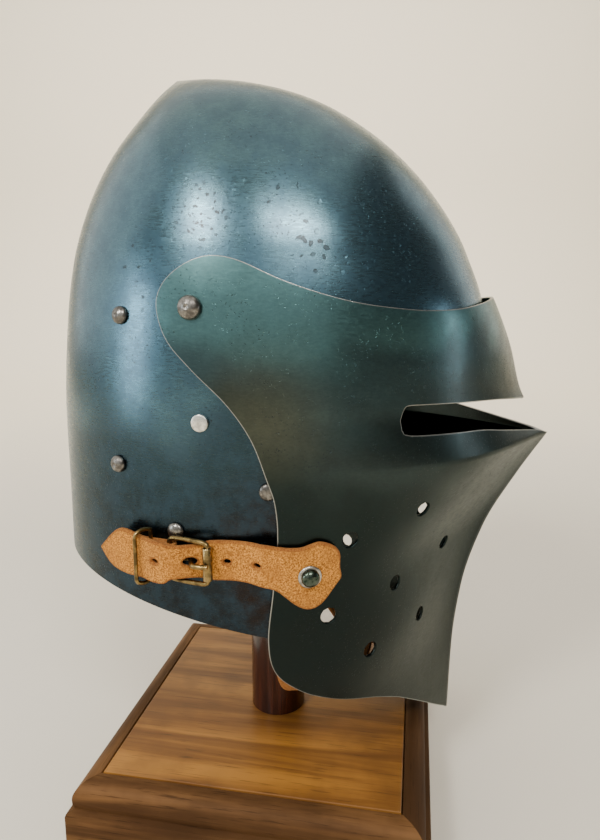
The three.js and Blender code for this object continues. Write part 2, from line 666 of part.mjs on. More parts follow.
// Tongue: an eye on the rear bar and a wire that comes up through the strap onto the roller
function tongueGeometry() {
  const eyeCentre = besideStrap(HEEL_BAR, BAR_LIFT);
  const [inside, outside, half] = [WIRE / 2 + GAP, WIRE / 2 + GAP + 1.2, TONGUE / 2];
  const eye = lathe([[inside, -half], [outside, -half], [outside, half], [inside, half], [inside, -half]], 10)
    .translate(...eyeCentre.toArray());
  const rollerTop = ROLLER_LIFT + ROLLER_OUTER / 2 + GAP + half;
  const prong = rod([
    besideStrap(HEEL_BAR + 2, BAR_LIFT - 0.9),
    besideStrap(-42, 3.1),
    besideStrap(-38.6, 2.9),
    besideStrap(-36.7, 4.2),
    besideStrap(-35.8, 7.2),
    besideStrap(-34.2, rollerTop - 1.1),
    besideStrap(-31.4, rollerTop),
    besideStrap(ROLLER_BAR + 1, rollerTop),
  ], TONGUE);
  const bore = pin(WIRE + 2 * GAP, -6, 6, 10).translate(...eyeCentre.toArray());
  return cutAll(joinAll([eye, prong]), [bore]);
}

// Keeper: a wire loop whose back lies inside the folded leather
function keeperGeometry() {
  const half = STRAP_WIDTH / 2 + 3.5;
  const front = keeperFront;
  const middle = (KEEPER_BACK + front) / 2;
  const at = (away, out) => besideStrap(keeperForward(away), away, STRAP_LEVEL - 0.3 + out);
  const upper = [at(front, 4), at(front, half - 3.6), at(front - 1.2, half - 1), at(middle, half),
    at(KEEPER_BACK + 0.7, half - 0.7), at(KEEPER_BACK, half - 2), at(KEEPER_BACK, 4)];
  const lower = [at(KEEPER_BACK, -4), at(KEEPER_BACK, 2 - half), at(KEEPER_BACK + 0.7, 0.7 - half),
    at(middle, -half), at(front - 1.2, 1 - half), at(front, 3.6 - half), at(front, -4)];
  return wireLoop([...upper, ...lower], KEEPER_WIRE);
}

// Hanging loop of leather whose face turns with its route
function chinStrap() {
  const half = CHIN_STRAP_ROUTE.map(([side, forward, level]) => place(forward, side, level));
  const other = half.slice(0, -1).reverse().map((point) => new THREE.Vector3(-point.x, point.y, point.z));
  const curve = new THREE.CatmullRomCurve3([...half, ...other], false, 'centripetal');
  const widthLine = new THREE.Vector3(0, -1, 0);
  const rings = Array.from({ length: CHIN_STRAP_STEPS + 1 }, (_, i) => {
    const centre = curve.getPointAt(i / CHIN_STRAP_STEPS);
    const tangent = curve.getTangentAt(i / CHIN_STRAP_STEPS);
    const across = widthLine.clone().addScaledVector(tangent, -widthLine.dot(tangent)).normalize();
    const out = tangent.clone().cross(across).normalize();
    return [[1, 1], [-1, 1], [-1, -1], [1, -1]].map(([a, b]) => centre.clone()
      .addScaledVector(across, (a * CHIN_STRAP_WIDTH) / 2)
      .addScaledVector(out, (b * CHIN_STRAP_LEATHER) / 2));
  });
  const strip = skin(rings, {
    closeRings: true,
    capEnds: (points, triangles, width, count) => {
      const last = (count - 1) * width;
      triangles.push([0, 2, 1], [0, 3, 2], [last, last + 1, last + 2], [last, last + 2, last + 3]);
    },
  });
  const { seat, kind } = rivetSeats.find(({ name }) => name === 'chin_rivet');
  return cutAll(strip, bothSides(shankHole(seat, kind.shank)));
}

// Where the rivets and pivots sit
const strapRivetSeat = onVisor(STRAP_RIVET_PLACE.forward, STRAP_RIVET_PLACE.level);
const pivotSeat = onVisor(PIVOT_PLACE.forward, PIVOT_PLACE.level);
const rivetSeats = SKULL_RIVETS.map((spot) => ({ ...spot, seat: onSkull(spot.forward, spot.level) }));

// Skull
const [openingTop, openingFoot] = [FACE_OPENING[0], FACE_OPENING[FACE_OPENING.length - 1]];
const faceOpening = sidePrism([...smoothOutline(FACE_OPENING, 18), [openingFoot[0], -CLEAR_OF_HELMET],
  [CLEAR_OF_HELMET, -CLEAR_OF_HELMET], [CLEAR_OF_HELMET, openingTop[1]]], CLEAR_OF_HELMET);
const skullHoles = rivetSeats.flatMap(({ seat, kind }) => bothSides(shankHole(seat, kind.shank)));
const skullPivotSeat = onSkull(PIVOT_PLACE.forward, PIVOT_PLACE.level);
skullHoles.push(...bothSides(shankHole(pivotSeat, PIVOT.shank)));
addMesh('skull', cutAll(skullShell(), [faceOpening, ...skullHoles]), 'skullSteel');

// Visor
const outline = smoothOutline(VISOR_OUTLINE, 66);
const outlineTop = VISOR_OUTLINE[0][1];
const outlineFoot = VISOR_OUTLINE[VISOR_OUTLINE.length - 1][1];
const outlinePrism = sidePrism([
  ...outline, [CLEAR_OF_HELMET, outlineFoot], [CLEAR_OF_HELMET, outlineTop]], CLEAR_OF_HELMET);
const slotEdges = [...smoothOutline(SLOT_UPPER, 14), ...smoothOutline(SLOT_LOWER, 14)];
const slot = sidePrism(slotEdges, CLEAR_OF_HELMET);
const visorBlank = toGeometry(toSolid(visorSheet()).intersect(toSolid(outlinePrism)));
const visorHoles = BREATH_HOLES.flatMap((spot) => bothSides(cheekHole(spot)));
visorHoles.push(...bothSides(shankHole(pivotSeat, PIVOT.shank)));
visorHoles.push(...bothSides(shankHole(strapRivetSeat, STRAP_RIVET.shank)));
addMesh('visor', cutAll(visorBlank, [slot, ...visorHoles]), 'visorSteel');

// Visor pivots reach through the visor and the skull
const pivotDepth = pivotSeat.point.distanceTo(skullPivotSeat.point) + STEEL + 0.6;
addPair('pivot', standing(rivet(PIVOT, pivotDepth), pivotSeat, GAP), 'darkRivet');

for (const { name, kind, seat, depth = STEEL } of rivetSeats) {
  const flat = kind === FLAT_RIVET;
  addPair(name, standing(rivet(kind, depth + GAP, { flat }), seat, GAP), flat ? 'brightRivet' : 'darkRivet');
}

// Visor straps with their rivets, washers, buckles and keepers
addPair('strap', strapGeometry(), 'leather');
const washerLift = VISOR_SEAT + LEATHER + GAP + 0.3;
const washerInside = WASHER.inner / 2;
const washerOutside = WASHER.outer / 2;
const washer = lathe([[washerInside, 0], [washerOutside, 0], [washerOutside - 0.2, WASHER.thick],
  [washerInside, WASHER.thick], [washerInside, 0]], 16);
addPair('strap_washer', standing(washer, strapRivetSeat, washerLift), 'ring');
const strapRivetLift = washerLift + WASHER.thick + GAP;
const strapRivet = rivet(STRAP_RIVET, strapRivetLift + STEEL - GAP, { endHeight: 0.7 });
addPair('strap_rivet', standing(strapRivet, strapRivetSeat, strapRivetLift), 'darkRivet');
addPair('buckle_leather', chapeGeometry(), 'leather');
addPair('buckle_frame', buckleFrame(), 'brass');
const rollerInside = WIRE / 2 + 1.4 * GAP;
const roller = lathe([[rollerInside, -ROLLER_HALF], [ROLLER_OUTER / 2, -ROLLER_HALF],
  [ROLLER_OUTER / 2, ROLLER_HALF], [rollerInside, ROLLER_HALF], [rollerInside, -ROLLER_HALF]], 12);
addPair('buckle_roller', roller.translate(...besideStrap(ROLLER_BAR, ROLLER_LIFT).toArray()), 'brass');
addPair('buckle_tongue', tongueGeometry(), 'brass');
addPair('keeper', keeperGeometry(), 'brass');

addMesh('chin_strap', chinStrap(), 'leather');

// Stand
const domeLine = [0, 0.25, 0.5, 0.75, 1].map((share) => {
  const turn = (share * Math.PI) / 2;
  return [(POST_DIAMETER / 2) * Math.sin(turn), POST_TOP - POST_DOME * (1 - Math.cos(turn))];
});
const postFoot = BLOCK_HEIGHT + GAP;
const postLine = [...domeLine, [POST_DIAMETER / 2, postFoot], [0, postFoot]];
addMesh('stand_post', lathe(postLine, POST_SIDES), 'darkWood');

const mouldingLine = MOULDING.map(([out, down]) => [
  (BLOCK_SIDE / 2 + out) * Math.SQRT2, BLOCK_HEIGHT - down]);
const block = lathe([[0, BLOCK_HEIGHT], ...mouldingLine, [0, 0]], 4).rotateZ(Math.PI / 4 + BLOCK_TURN);
addMesh('stand_block', block, 'walnut');

export default part;
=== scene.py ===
from math import cos, pi, radians, sin

import bpy
import numpy as np
from mathutils import Matrix, Vector


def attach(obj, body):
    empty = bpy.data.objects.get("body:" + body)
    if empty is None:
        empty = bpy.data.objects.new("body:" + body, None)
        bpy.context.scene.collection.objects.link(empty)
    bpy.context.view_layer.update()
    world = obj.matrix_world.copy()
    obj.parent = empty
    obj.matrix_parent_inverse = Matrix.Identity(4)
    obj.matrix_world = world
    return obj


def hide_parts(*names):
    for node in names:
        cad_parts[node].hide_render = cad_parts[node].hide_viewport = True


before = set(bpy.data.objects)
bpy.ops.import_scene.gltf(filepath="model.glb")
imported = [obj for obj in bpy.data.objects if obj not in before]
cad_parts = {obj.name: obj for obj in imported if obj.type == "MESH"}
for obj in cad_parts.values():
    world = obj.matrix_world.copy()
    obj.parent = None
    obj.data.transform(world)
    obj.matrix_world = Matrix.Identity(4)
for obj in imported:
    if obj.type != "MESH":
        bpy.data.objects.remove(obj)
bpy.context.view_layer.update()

# The view
# The camera looks at the wearer's right side from a little above, as someone does who
# stands before the stand.
EYE = (-0.380, -0.01409, 0.29507)
LOOK_DOWN = 10.533
camera_data = bpy.data.cameras.new("camera")
camera_data.sensor_width = 36
camera_data.lens = 27.43
camera = bpy.data.objects.new("camera", camera_data)
camera.location = EYE
camera.rotation_euler = (radians(90 - LOOK_DOWN), 0, radians(-90))
bpy.context.scene.collection.objects.link(camera)
bpy.context.scene.camera = camera

# The floor and the wall
# A pale painted floor that turns up into a pale wall on the far side, with no corner. It is
# only there to be stood on and looked at against.
FLOOR_NEAR = -3.0
FLOOR_HALF = 5.0
WALL_DISTANCE = 2.4
WALL_TOP = 3.6
WALL_BEND = 0.8
BEND_STEPS = 12
sweep = [(FLOOR_NEAR, 0.0), (WALL_DISTANCE - WALL_BEND, 0.0)]
for step in range(1, BEND_STEPS + 1):
    turn = step / BEND_STEPS * pi / 2
    sweep.append((WALL_DISTANCE - WALL_BEND + WALL_BEND * sin(turn), WALL_BEND - WALL_BEND * cos(turn)))
sweep.append((WALL_DISTANCE, WALL_TOP))
sweep_points = [(x, y, z) for y in (-FLOOR_HALF, FLOOR_HALF) for x, z in sweep]
sweep_count = len(sweep)
sweep_faces = [(i, i + 1, i + 1 + sweep_count, i + sweep_count) for i in range(sweep_count - 1)]


def feed(tree, socket, value):
    """Gives a socket a value, or the output of another node."""
    if isinstance(value, bpy.types.NodeSocket):
        tree.links.new(value, socket)
    else:
        socket.default_value = (*value, 1) if socket.type == "RGBA" else value


def dress(material, **layers):
    """Feeds the shader's sockets by their names."""
    tree = material.node_tree
    for key, value in layers.items():
        feed(tree, tree.nodes["Principled BSDF"].inputs[key.replace("_", " ")], value)


def plain_finish(name, colour, roughness, metallic=0.0):
    """A material with one shader, ready for more layers."""
    material = bpy.data.materials.new(name)
    material.use_nodes = True
    dress(material, Base_Color=colour, Roughness=roughness, Metallic=metallic)
    return material


def add_object(name, shape, material):
    """An object in the shared frame. A shape holds points in metres and faces, and may hold a
    direction for each point, or the angle at which edges show, and numbers for its material."""
    mesh = bpy.data.meshes.new(name)
    mesh.from_pydata(np.asarray(shape["points"]).tolist(), [], shape["faces"])
    mesh.polygons.foreach_set("use_smooth", [True] * len(mesh.polygons))
    mesh.materials.append(material)
    if "normals" in shape:
        mesh.normals_split_custom_set_from_vertices(np.asarray(shape["normals"]).tolist())
    if "crease" in shape:
        mesh.set_sharp_from_angle(angle=radians(shape["crease"]))
    if "from_edge" in shape:
        layer = mesh.attributes.new("from_edge", "FLOAT", "POINT")
        layer.data.foreach_set("value", np.asarray(shape["from_edge"], np.float32))
    thing = bpy.data.objects.new(name, mesh)
    bpy.context.scene.collection.objects.link(thing)
    return thing


pale_paint = plain_finish("pale_paint", (0.80, 0.735, 0.615), 0.85)
floor = add_object("floor", {"points": sweep_points, "faces": sweep_faces}, pale_paint)

# The light
# Soft light from the room itself, from windows at its sides and from lamps overhead, with one
# more that washes the wall.
ROOM_COLOUR = (0.80, 0.785, 0.75)
ROOM_STRENGTH = 0.16
world = bpy.data.worlds.new("room")
world.use_nodes = True
room_light = world.node_tree.nodes["Background"]
feed(world.node_tree, room_light.inputs["Color"], ROOM_COLOUR)
feed(world.node_tree, room_light.inputs["Strength"], ROOM_STRENGTH)
bpy.context.scene.world = world


def add_lamp(name, place, aim, size, power, colour, spread=180):
    """A flat lamp that faces its aim, sized in metres, with its power in watts."""
    lamp_data = bpy.data.lights.new(name, "AREA")
    lamp_data.shape = "RECTANGLE"
    lamp_data.size, lamp_data.size_y = size
    lamp_data.energy = power
    lamp_data.color = colour
    lamp_data.spread = radians(spread)
    lamp = bpy.data.objects.new(name, lamp_data)
    lamp.location = place
    lamp.rotation_euler = (Vector(aim) - Vector(place)).to_track_quat("-Z", "Y").to_euler()
    bpy.context.scene.collection.objects.link(lamp)


MIDDLE = (0, 0, 0.30)
add_lamp("lamp_front", (-1.56, -0.36, 1.62), MIDDLE, (0.80, 0.28), 26, (1.0, 0.98, 0.95))
add_lamp("lamp_rear", (-1.34, 1.02, 1.52), MIDDLE, (0.38, 0.45), 25, (1.0, 0.99, 0.96))
add_lamp("window_rear", (-0.88, 2.0, 0.50), MIDDLE, (0.50, 0.8), 12, (0.82, 0.92, 1.0))
add_lamp("window_left", (0.35, 1.9, 1.15), MIDDLE, (2.0, 2.0), 18, (1.0, 0.98, 0.94))
add_lamp("window_right", (-0.1, -2.1, 0.25), MIDDLE, (0.35, 0.8), 4, (0.80, 0.92, 1.0))
add_lamp("window_front", (1.0, -1.6, 1.05), MIDDLE, (0.9, 1.6), 5, (1.0, 0.98, 0.95))
add_lamp("ceiling", (0.4, 0.2, 3.0), (0.4, 0.2, 0), (4.0, 4.0), 52, (1.0, 0.97, 0.92))
add_lamp("room_front", (-2.4, 0.6, 0.95), MIDDLE, (3.6, 1.3), 12, (0.95, 0.99, 1.0))
add_lamp("lamp_wall", (0.7, 0.0, 2.2), (2.4, 0, 0.5), (3.5, 0.5), 47, (1.0, 0.90, 0.73), 110)

# The skull piece
# One piece of 2 mm steel raised to a point behind the crown, open at the face and the neck,
# then heated until it turns blue and waxed.
# in metres: the brow's height, from which levels count, the sheet, how far its rounded edge
# stands out, the way from the apex down to the lower edge, and what is well away from an edge
BROW = 0.295
STEEL = 0.002
RIM_ROUND = 0.00045
SKULL_RUN = 0.35
WELL_INSIDE = 0.02
# the grid's first row lies just under the apex, and the rows crowd together towards it
SKULL_COLUMNS, SKULL_ROWS = 264, 132
FIRST_ROW, ROW_CROWDING = 0.0008, 1.15
# FAR_OUT lies past every edge of the helmet, in mm, and TINY keeps a division from nothing
FAR_OUT = 300
TINY = 1e-12
# along: the share of the way down from the apex; front and rear: the ring's end points in the
# middle plane, forward and above the brow; half: half the ring's width; all in mm
SKULL_RINGS = [
    # along, front, front level, rear, rear level, half
    (0.00, -53.5, 119, -53.5, 119, 0),
    (0.06, -18, 115.5, -64, 107, 24),
    (0.14, 20, 106.5, -74.5, 94, 45),
    (0.25, 56.5, 87, -90.5, 73, 64),
    (0.37, 88, 57, -103.5, 48, 79),
    (0.49, 108, 25, -112.5, 20, 88.5),
    (0.62, 119, -10, -118, -15, 94),
    (0.75, 120, -55, -121.5, -60, 94.6),
    (0.88, 118, -105, -122, -105, 92.6),
    (1.00, 114, -188, -122.5, -137.5, 90.8),
]
FACE_OPENING = [(110, -38), (90, -39.5), (70, -42), (58, -48), (52, -60), (44, -84), (36, -106),
                (25, -140), (19, -176)]


def smooth_column(x, y):
    """A smooth curve through a table's values that never swings past one of them."""
    x, y = np.asarray(x, float), np.asarray(y, float)
    step, rise = np.diff(x), np.diff(y) / np.diff(x)
    slope = np.concatenate([rise[:1], np.zeros(len(x) - 2), rise[-1:]])
    for i in range(1, len(x) - 1):
        if rise[i - 1] * rise[i] > 0:
            before, after = 2 * step[i] + step[i - 1], step[i] + 2 * step[i - 1]
            slope[i] = (before + after) / (before / rise[i - 1] + after / rise[i])

    def at(where):
        i = np.clip(np.searchsorted(x, where) - 1, 0, len(x) - 2)
        t = np.clip((where - x[i]) / step[i], 0, 1)
        start, end = (1 + 2 * t) * (1 - t) ** 2, t * t * (3 - 2 * t)
        bend = t * (1 - t) * ((1 - t) * slope[i] - t * slope[i + 1]) * step[i]
        return start * y[i] + end * y[i + 1] + bend
    return at


def bend_through(a, b, c, d, t):
    """A place between b and c on the smooth curve that also runs through a and d."""
    return 0.5 * (2 * b + (c - a) * t + (2 * a - 5 * b + 4 * c - d) * t * t
                  + (3 * b - a - 3 * c + d) * t ** 3)


def run_along(line):
    """How far along a line each of its points lies."""
    return np.concatenate([[0], np.cumsum(np.linalg.norm(np.diff(line, axis=0), axis=1))])


def evenly(line, count):
    """That many points at even steps along a line."""
    run = run_along(line)
    even = np.linspace(0, run[-1], count)
    return np.column_stack([np.interp(even, run, line[:, k]) for k in range(line.shape[1])])


def smooth_line(corners, count, between_corners=24):
    """Points along a smooth line through the corners of an outline, evenly spaced."""
    corners = np.asarray(corners, float)
    padded = np.vstack([corners[:1], corners, corners[-1:]])
    fine = [bend_through(*padded[i:i + 4], t) for i in range(len(corners) - 1)
            for t in np.linspace(0, 1, between_corners, endpoint=False)]
    return evenly(np.array([*fine, corners[-1]]), count + 1)


def depth_inside(spots, outline):
    """How far each spot lies inside a closed outline, less than nothing outside it."""
    spots, outline = np.asarray(spots), np.asarray(outline)
    inside = np.zeros(len(spots), bool)
    nearest = np.full(len(spots), np.inf)
    for (ax, ay), (bx, by) in zip(outline, np.roll(outline, -1, axis=0)):
        dx, dy = bx - ax, by - ay
        t = ((spots[:, 0] - ax) * dx + (spots[:, 1] - ay) * dy) / max(dx * dx + dy * dy, TINY)
        t = np.clip(t, 0, 1)
        nearest = np.minimum(nearest, np.hypot(spots[:, 0] - ax - t * dx, spots[:, 1] - ay - t * dy))
        if ay != by:
            crosses = (ay > spots[:, 1]) != (by > spots[:, 1])
            inside ^= crosses & (spots[:, 0] < ax + (spots[:, 1] - ay) * dx / dy)
    return np.where(inside, nearest, -nearest)


def outward_normals(points, wraps):
    """The direction that faces away from a sheet at each point of its grid."""
    if wraps:
        across = np.roll(points, -1, axis=1) - np.roll(points, 1, axis=1)
    else:
        across = np.gradient(points, axis=1)
    normals = np.cross(across, np.gradient(points, axis=0))
    return normals / np.linalg.norm(normals, axis=2, keepdims=True)


def trim_cells(flat, kept, crossing, wraps):
    """The cells of a grid that lie inside a cut, whole or trimmed, and the edges so made."""
    number = np.cumsum(kept) - 1
    rows, columns = flat.shape
    faces, edge = [], []
    for row in range(rows - 1):
        for column in range(columns if wraps else columns - 1):
            j = (column + 1) % columns
            around = ((row, column), (row, j), (row + 1, j), (row + 1, column))
            corners = [int(flat[spot]) for spot in around]
            states = [kept[c] for c in corners]
            if all(states):
                faces.append([int(number[c]) for c in corners])
            if all(states) or not any(states):
                continue
            face, leaves = [], []
            for k in range(4):
                here, after = corners[k], corners[(k + 1) % 4]
                if states[k]:
                    face.append(int(number[here]))
                if states[k] != states[(k + 1) % 4]:
                    face.append(crossing[here, after])
                    if states[k]:
                        leaves.append(len(face) - 1)
            faces.append(face)
            edge += [(face[place], face[(place + 1) % len(face)]) for place in leaves]
    return faces, edge


def roll_edge(points, facing, faces, edge, thick, rim, steps=5):
    """Both faces of a sheet and the rounded edge between them: rings that swing out from the
    outer face and back to the inner one."""
    along = {}
    for a, b in edge:
        for end in (a, b):
            along[end] = along.get(end, 0) + points[b] - points[a]
    ends = sorted(along)
    index = {end: i for i, end in enumerate(ends)}
    out = np.cross(np.array([along[end] for end in ends]), facing[ends])
    out /= np.maximum(np.linalg.norm(out, axis=1, keepdims=True), TINY)
    total = len(points)
    all_points, all_normals = [points, points - facing * thick], [facing, -facing]
    for step in range(1, steps):
        swing = pi * step / steps
        inward = facing[ends] * thick / 2 * (1 - cos(swing))
        all_points.append(points[ends] + out * rim * sin(swing) - inward)
        all_normals.append(facing[ends] * cos(swing) + out * sin(swing))
    all_faces = [*faces, *[[total + i for i in reversed(face)] for face in faces]]
    for pair in edge:
        a, b = ([end, *[2 * total + k * len(ends) + index[end] for k in range(steps - 1)], total + end]
                for end in pair)
        all_faces += [[b[k], a[k], a[k + 1], b[k + 1]] for k in range(steps)]
    return {"points": np.concatenate(all_points), "normals": np.concatenate(all_normals), "faces": all_faces}


def cut_sheet(grid, keep, thick, wraps=False, rim=RIM_ROUND, halvings=14):
    """A sheet cut to shape, with rounded edges. grid holds a point of the outer face at each row
    and column, and any more numbers after it; keep gives how far such a spot lies inside the cut."""
    rows, columns, width = grid.shape
    normals = outward_normals(grid[..., :3], wraps)
    spots = np.concatenate([grid, normals], axis=2).reshape(rows * columns, -1)

    def inside(some):
        return keep(some[:, :width]) - rim

    kept = inside(spots) > 0
    made = [spots[kept]]
    count = int(kept.sum())
    flat = np.arange(rows * columns).reshape(rows, columns)
    right = np.roll(flat, -1, axis=1) if wraps else flat[:, 1:]
    left = flat if wraps else flat[:, :-1]
    # the cut crosses a grid line at a place that halving closes in on
    crossing = {}
    for start, end in ((left, right), (flat[:-1], flat[1:])):
        a, b = start.ravel(), end.ravel()
        cuts = kept[a] != kept[b]
        a, b = a[cuts], b[cuts]
        low, high = np.where(kept[a], 0.0, 1.0), np.where(kept[a], 1.0, 0.0)
        for _ in range(halvings):
            middle = (low + high) / 2
            good = inside(spots[a] + (spots[b] - spots[a]) * middle[:, None]) > 0
            low, high = np.where(good, middle, low), np.where(good, high, middle)
        made.append(spots[a] + (spots[b] - spots[a]) * low[:, None])
        for i, pair in enumerate(zip(a.tolist(), b.tolist())):
            crossing[pair] = crossing[pair[::-1]] = count + i
        count += len(a)
    made = np.concatenate(made)
    facing = made[:, -3:] / np.linalg.norm(made[:, -3:], axis=1, keepdims=True)
    shape = roll_edge(made[:, :3], facing, *trim_cells(flat, kept, crossing, wraps), thick, rim)
    on_rim = len(shape["points"]) - 2 * len(made)
    shape["from_edge"] = np.concatenate([np.clip(inside(made), 0, WELL_INSIDE),
                                         np.full(len(made), WELL_INSIDE), np.zeros(on_rim)])
    shape["outer_count"] = len(made)
    return shape


def in_frame(forward, side, level):
    """Helmet measures in mm to the shared frame: side is towards the wearer's right."""
    return np.stack([-side, -forward, BROW * 1000 + level], axis=-1) / 1000


def skull_points(along, turn):
    """Places on the skull piece's outer face, by the share of the way down and the turn round it."""
    rings = np.array(SKULL_RINGS)
    front, front_level, rear, rear_level, half = (
        smooth_column(rings[:, 0], rings[:, k])(along) for k in range(1, 6))
    forward = (front + rear) / 2 + (front - rear) / 2 * np.cos(turn)
    level = (front_level + rear_level) / 2 + (front_level - rear_level) / 2 * np.cos(turn)
    return in_frame(forward, half * np.sin(turn), level)


skull_along = FIRST_ROW + (1 - FIRST_ROW) * np.linspace(0, 1, SKULL_ROWS) ** ROW_CROWDING
skull_turn = np.arange(SKULL_COLUMNS) * 2 * pi / SKULL_COLUMNS
along_grid, turn_grid = np.meshgrid(skull_along, skull_turn, indexing="ij")
skull_grid = np.concatenate([skull_points(along_grid, turn_grid), along_grid[..., None]], axis=2)
face_outline = [*smooth_line(FACE_OPENING, 60), (FACE_OPENING[-1][0], -FAR_OUT), (FAR_OUT, -FAR_OUT),
                (FAR_OUT, FACE_OPENING[0][1])]


def side_view(spots):
    """Forward and level of spots in the frame, in mm."""
    return np.column_stack([-spots[:, 1] * 1000, (spots[:, 2] - BROW) * 1000])


def skull_cut(spots):
    """How far spots lie from the lower edge and from the face opening, whichever is nearer."""
    lower_edge = (1 - spots[:, 3]) * SKULL_RUN
    return np.minimum(lower_edge, -depth_inside(side_view(spots), face_outline) / 1000)


def add_node(tree, kind, settings=None, **inputs):
    """A node of that kind, its settings, and its inputs by name or by number, as i0 is the first."""
    made = tree.nodes.new("ShaderNode" + kind)
    for key, value in (settings or {}).items():
        setattr(made, key, value)
    for key, value in inputs.items():
        by_number = key[0] == "i" and key[1:].isdigit()
        feed(tree, made.inputs[int(key[1:]) if by_number else key.replace("_", " ")], value)
    return made


def where_on_it(tree, stretch=(1, 1, 1)):
    """The place in the shared frame, in metres, stretched along the axes for grain and brushing."""
    place = add_node(tree, "TexCoord").outputs["Object"]
    return add_node(tree, "Mapping", Vector=place, Scale=stretch).outputs[0]


def away_from(tree, centre):
    """How far each place on the piece is from a spot in the shared frame."""
    return add_node(tree, "VectorMath", {"operation": "DISTANCE"}, i0=where_on_it(tree),
                    i1=centre).outputs["Value"]


def cloud(tree, size, detail=3.0, stretch=(1, 1, 1), roughness=0.55, distortion=0.0):
    """Smooth random patches about that many mm across."""
    return add_node(tree, "TexNoise", Vector=where_on_it(tree, stretch), Scale=1000 / size, Detail=detail,
                    Roughness=roughness, Distortion=distortion).outputs["Fac"]


def between(tree, value, low, high, start=0.0, end=1.0):
    """Gives start where the value is at low, end where it is at high, and runs smoothly between."""
    return add_node(tree, "MapRange", {"interpolation_type": "SMOOTHSTEP"}, Value=value, From_Min=low,
                    From_Max=high, To_Min=start, To_Max=end).outputs[0]


def by_the_edge(tree, reach, share=1.0):
    """The given share at a cut edge, and nothing beyond that reach from it."""
    distance = add_node(tree, "Attribute", {"attribute_name": "from_edge"}).outputs["Fac"]
    return between(tree, distance, reach, 0.0, 0.0, share)


def blend(tree, share, first, second, mode="MIX"):
    """One colour over another."""
    return add_node(tree, "Mix", {"data_type": "RGBA", "blend_type": mode}, i0=share, i6=first,
                    i7=second).outputs[2]


def work_out(tree, sum_kind, first, second):
    """Arithmetic on two numbers."""
    return add_node(tree, "Math", {"operation": sum_kind}, i0=first, i1=second).outputs[0]


def all_of(tree, *shares):
    """Shares multiplied together, so that there is much only where each is much."""
    product = shares[0]
    for share in shares[1:]:
        product = work_out(tree, "MULTIPLY", product, share)
    return product


def raised(tree, height, distance, strength=1.0, under=None):
    """A bump of that height, on top of another."""
    more = {"Normal": under} if under is not None else {}
    return add_node(tree, "Bump", Height=height, Distance=distance, Strength=strength, **more).outputs[0]


# sizes in mm of the heat's clouds and of its stain deepened by painted shade, of mottling, grain and
# brushing, and of groups of pin holes, planished dents, hammer ripple and fine pits
HEAT_CLOUD, STAIN_AND_SHADE_CLOUD = 80, 45
MOTTLE, GRAIN, BRUSHING = 11, 0.9, 0.6
PIN_GROUP, DENT, RIPPLE, FINE_PIT = 22, 30, 5, 1.4
HEAT_DRIFT = 0.020
STAIN_AND_SHADE_FADE_DOWN, STAIN_AND_SHADE_FADE_AHEAD = 0.06, 0.04
WOBBLES_PER_METRE, WOBBLE = 260.0, 0.004
PINS_PER_METRE = 620.0
DIRT_COLOUR = (0.010, 0.016, 0.020)
GRAIN_COLOUR = (0.55, 0.60, 0.62)
RIM_WEAR_AND_SHADE_REACH = 0.00022
WAX_LOW, WAX_HIGH = 0.17, 0.27


def pitting(tree, marks):
    """Fine pin holes all over, in groups, and scale marks where the metal has been pitted."""
    wobble = add_node(tree, "TexNoise", Vector=where_on_it(tree), Scale=WOBBLES_PER_METRE,
                      Detail=2.0).outputs["Color"]
    shaken = add_node(tree, "Mix", {"data_type": "VECTOR"}, i0=WOBBLE, i4=where_on_it(tree),
                      i5=wobble).outputs[1]
    pins = add_node(tree, "TexVoronoi", Vector=shaken, Scale=PINS_PER_METRE).outputs["Distance"]
    pin_groups = between(tree, cloud(tree, PIN_GROUP, detail=3), 0.44, 0.62)
    dirt = all_of(tree, between(tree, pins, 0.24, 0.10), pin_groups)
    for centre, reach, per_metre, size, share in marks:
        near = between(tree, away_from(tree, centre), reach, reach * 0.4)
        cells = add_node(tree, "TexVoronoi", Vector=shaken, Scale=per_metre)
        lot = add_node(tree, "SeparateColor", Color=cells.outputs["Color"]).outputs[0]
        chosen = between(tree, lot, 1 - share, 1.02 - share)
        spot_here = between(tree, cells.outputs["Distance"], size + 0.10, size)
        dirt = work_out(tree, "MAXIMUM", dirt, all_of(tree, spot_here, chosen, near))
    return dirt


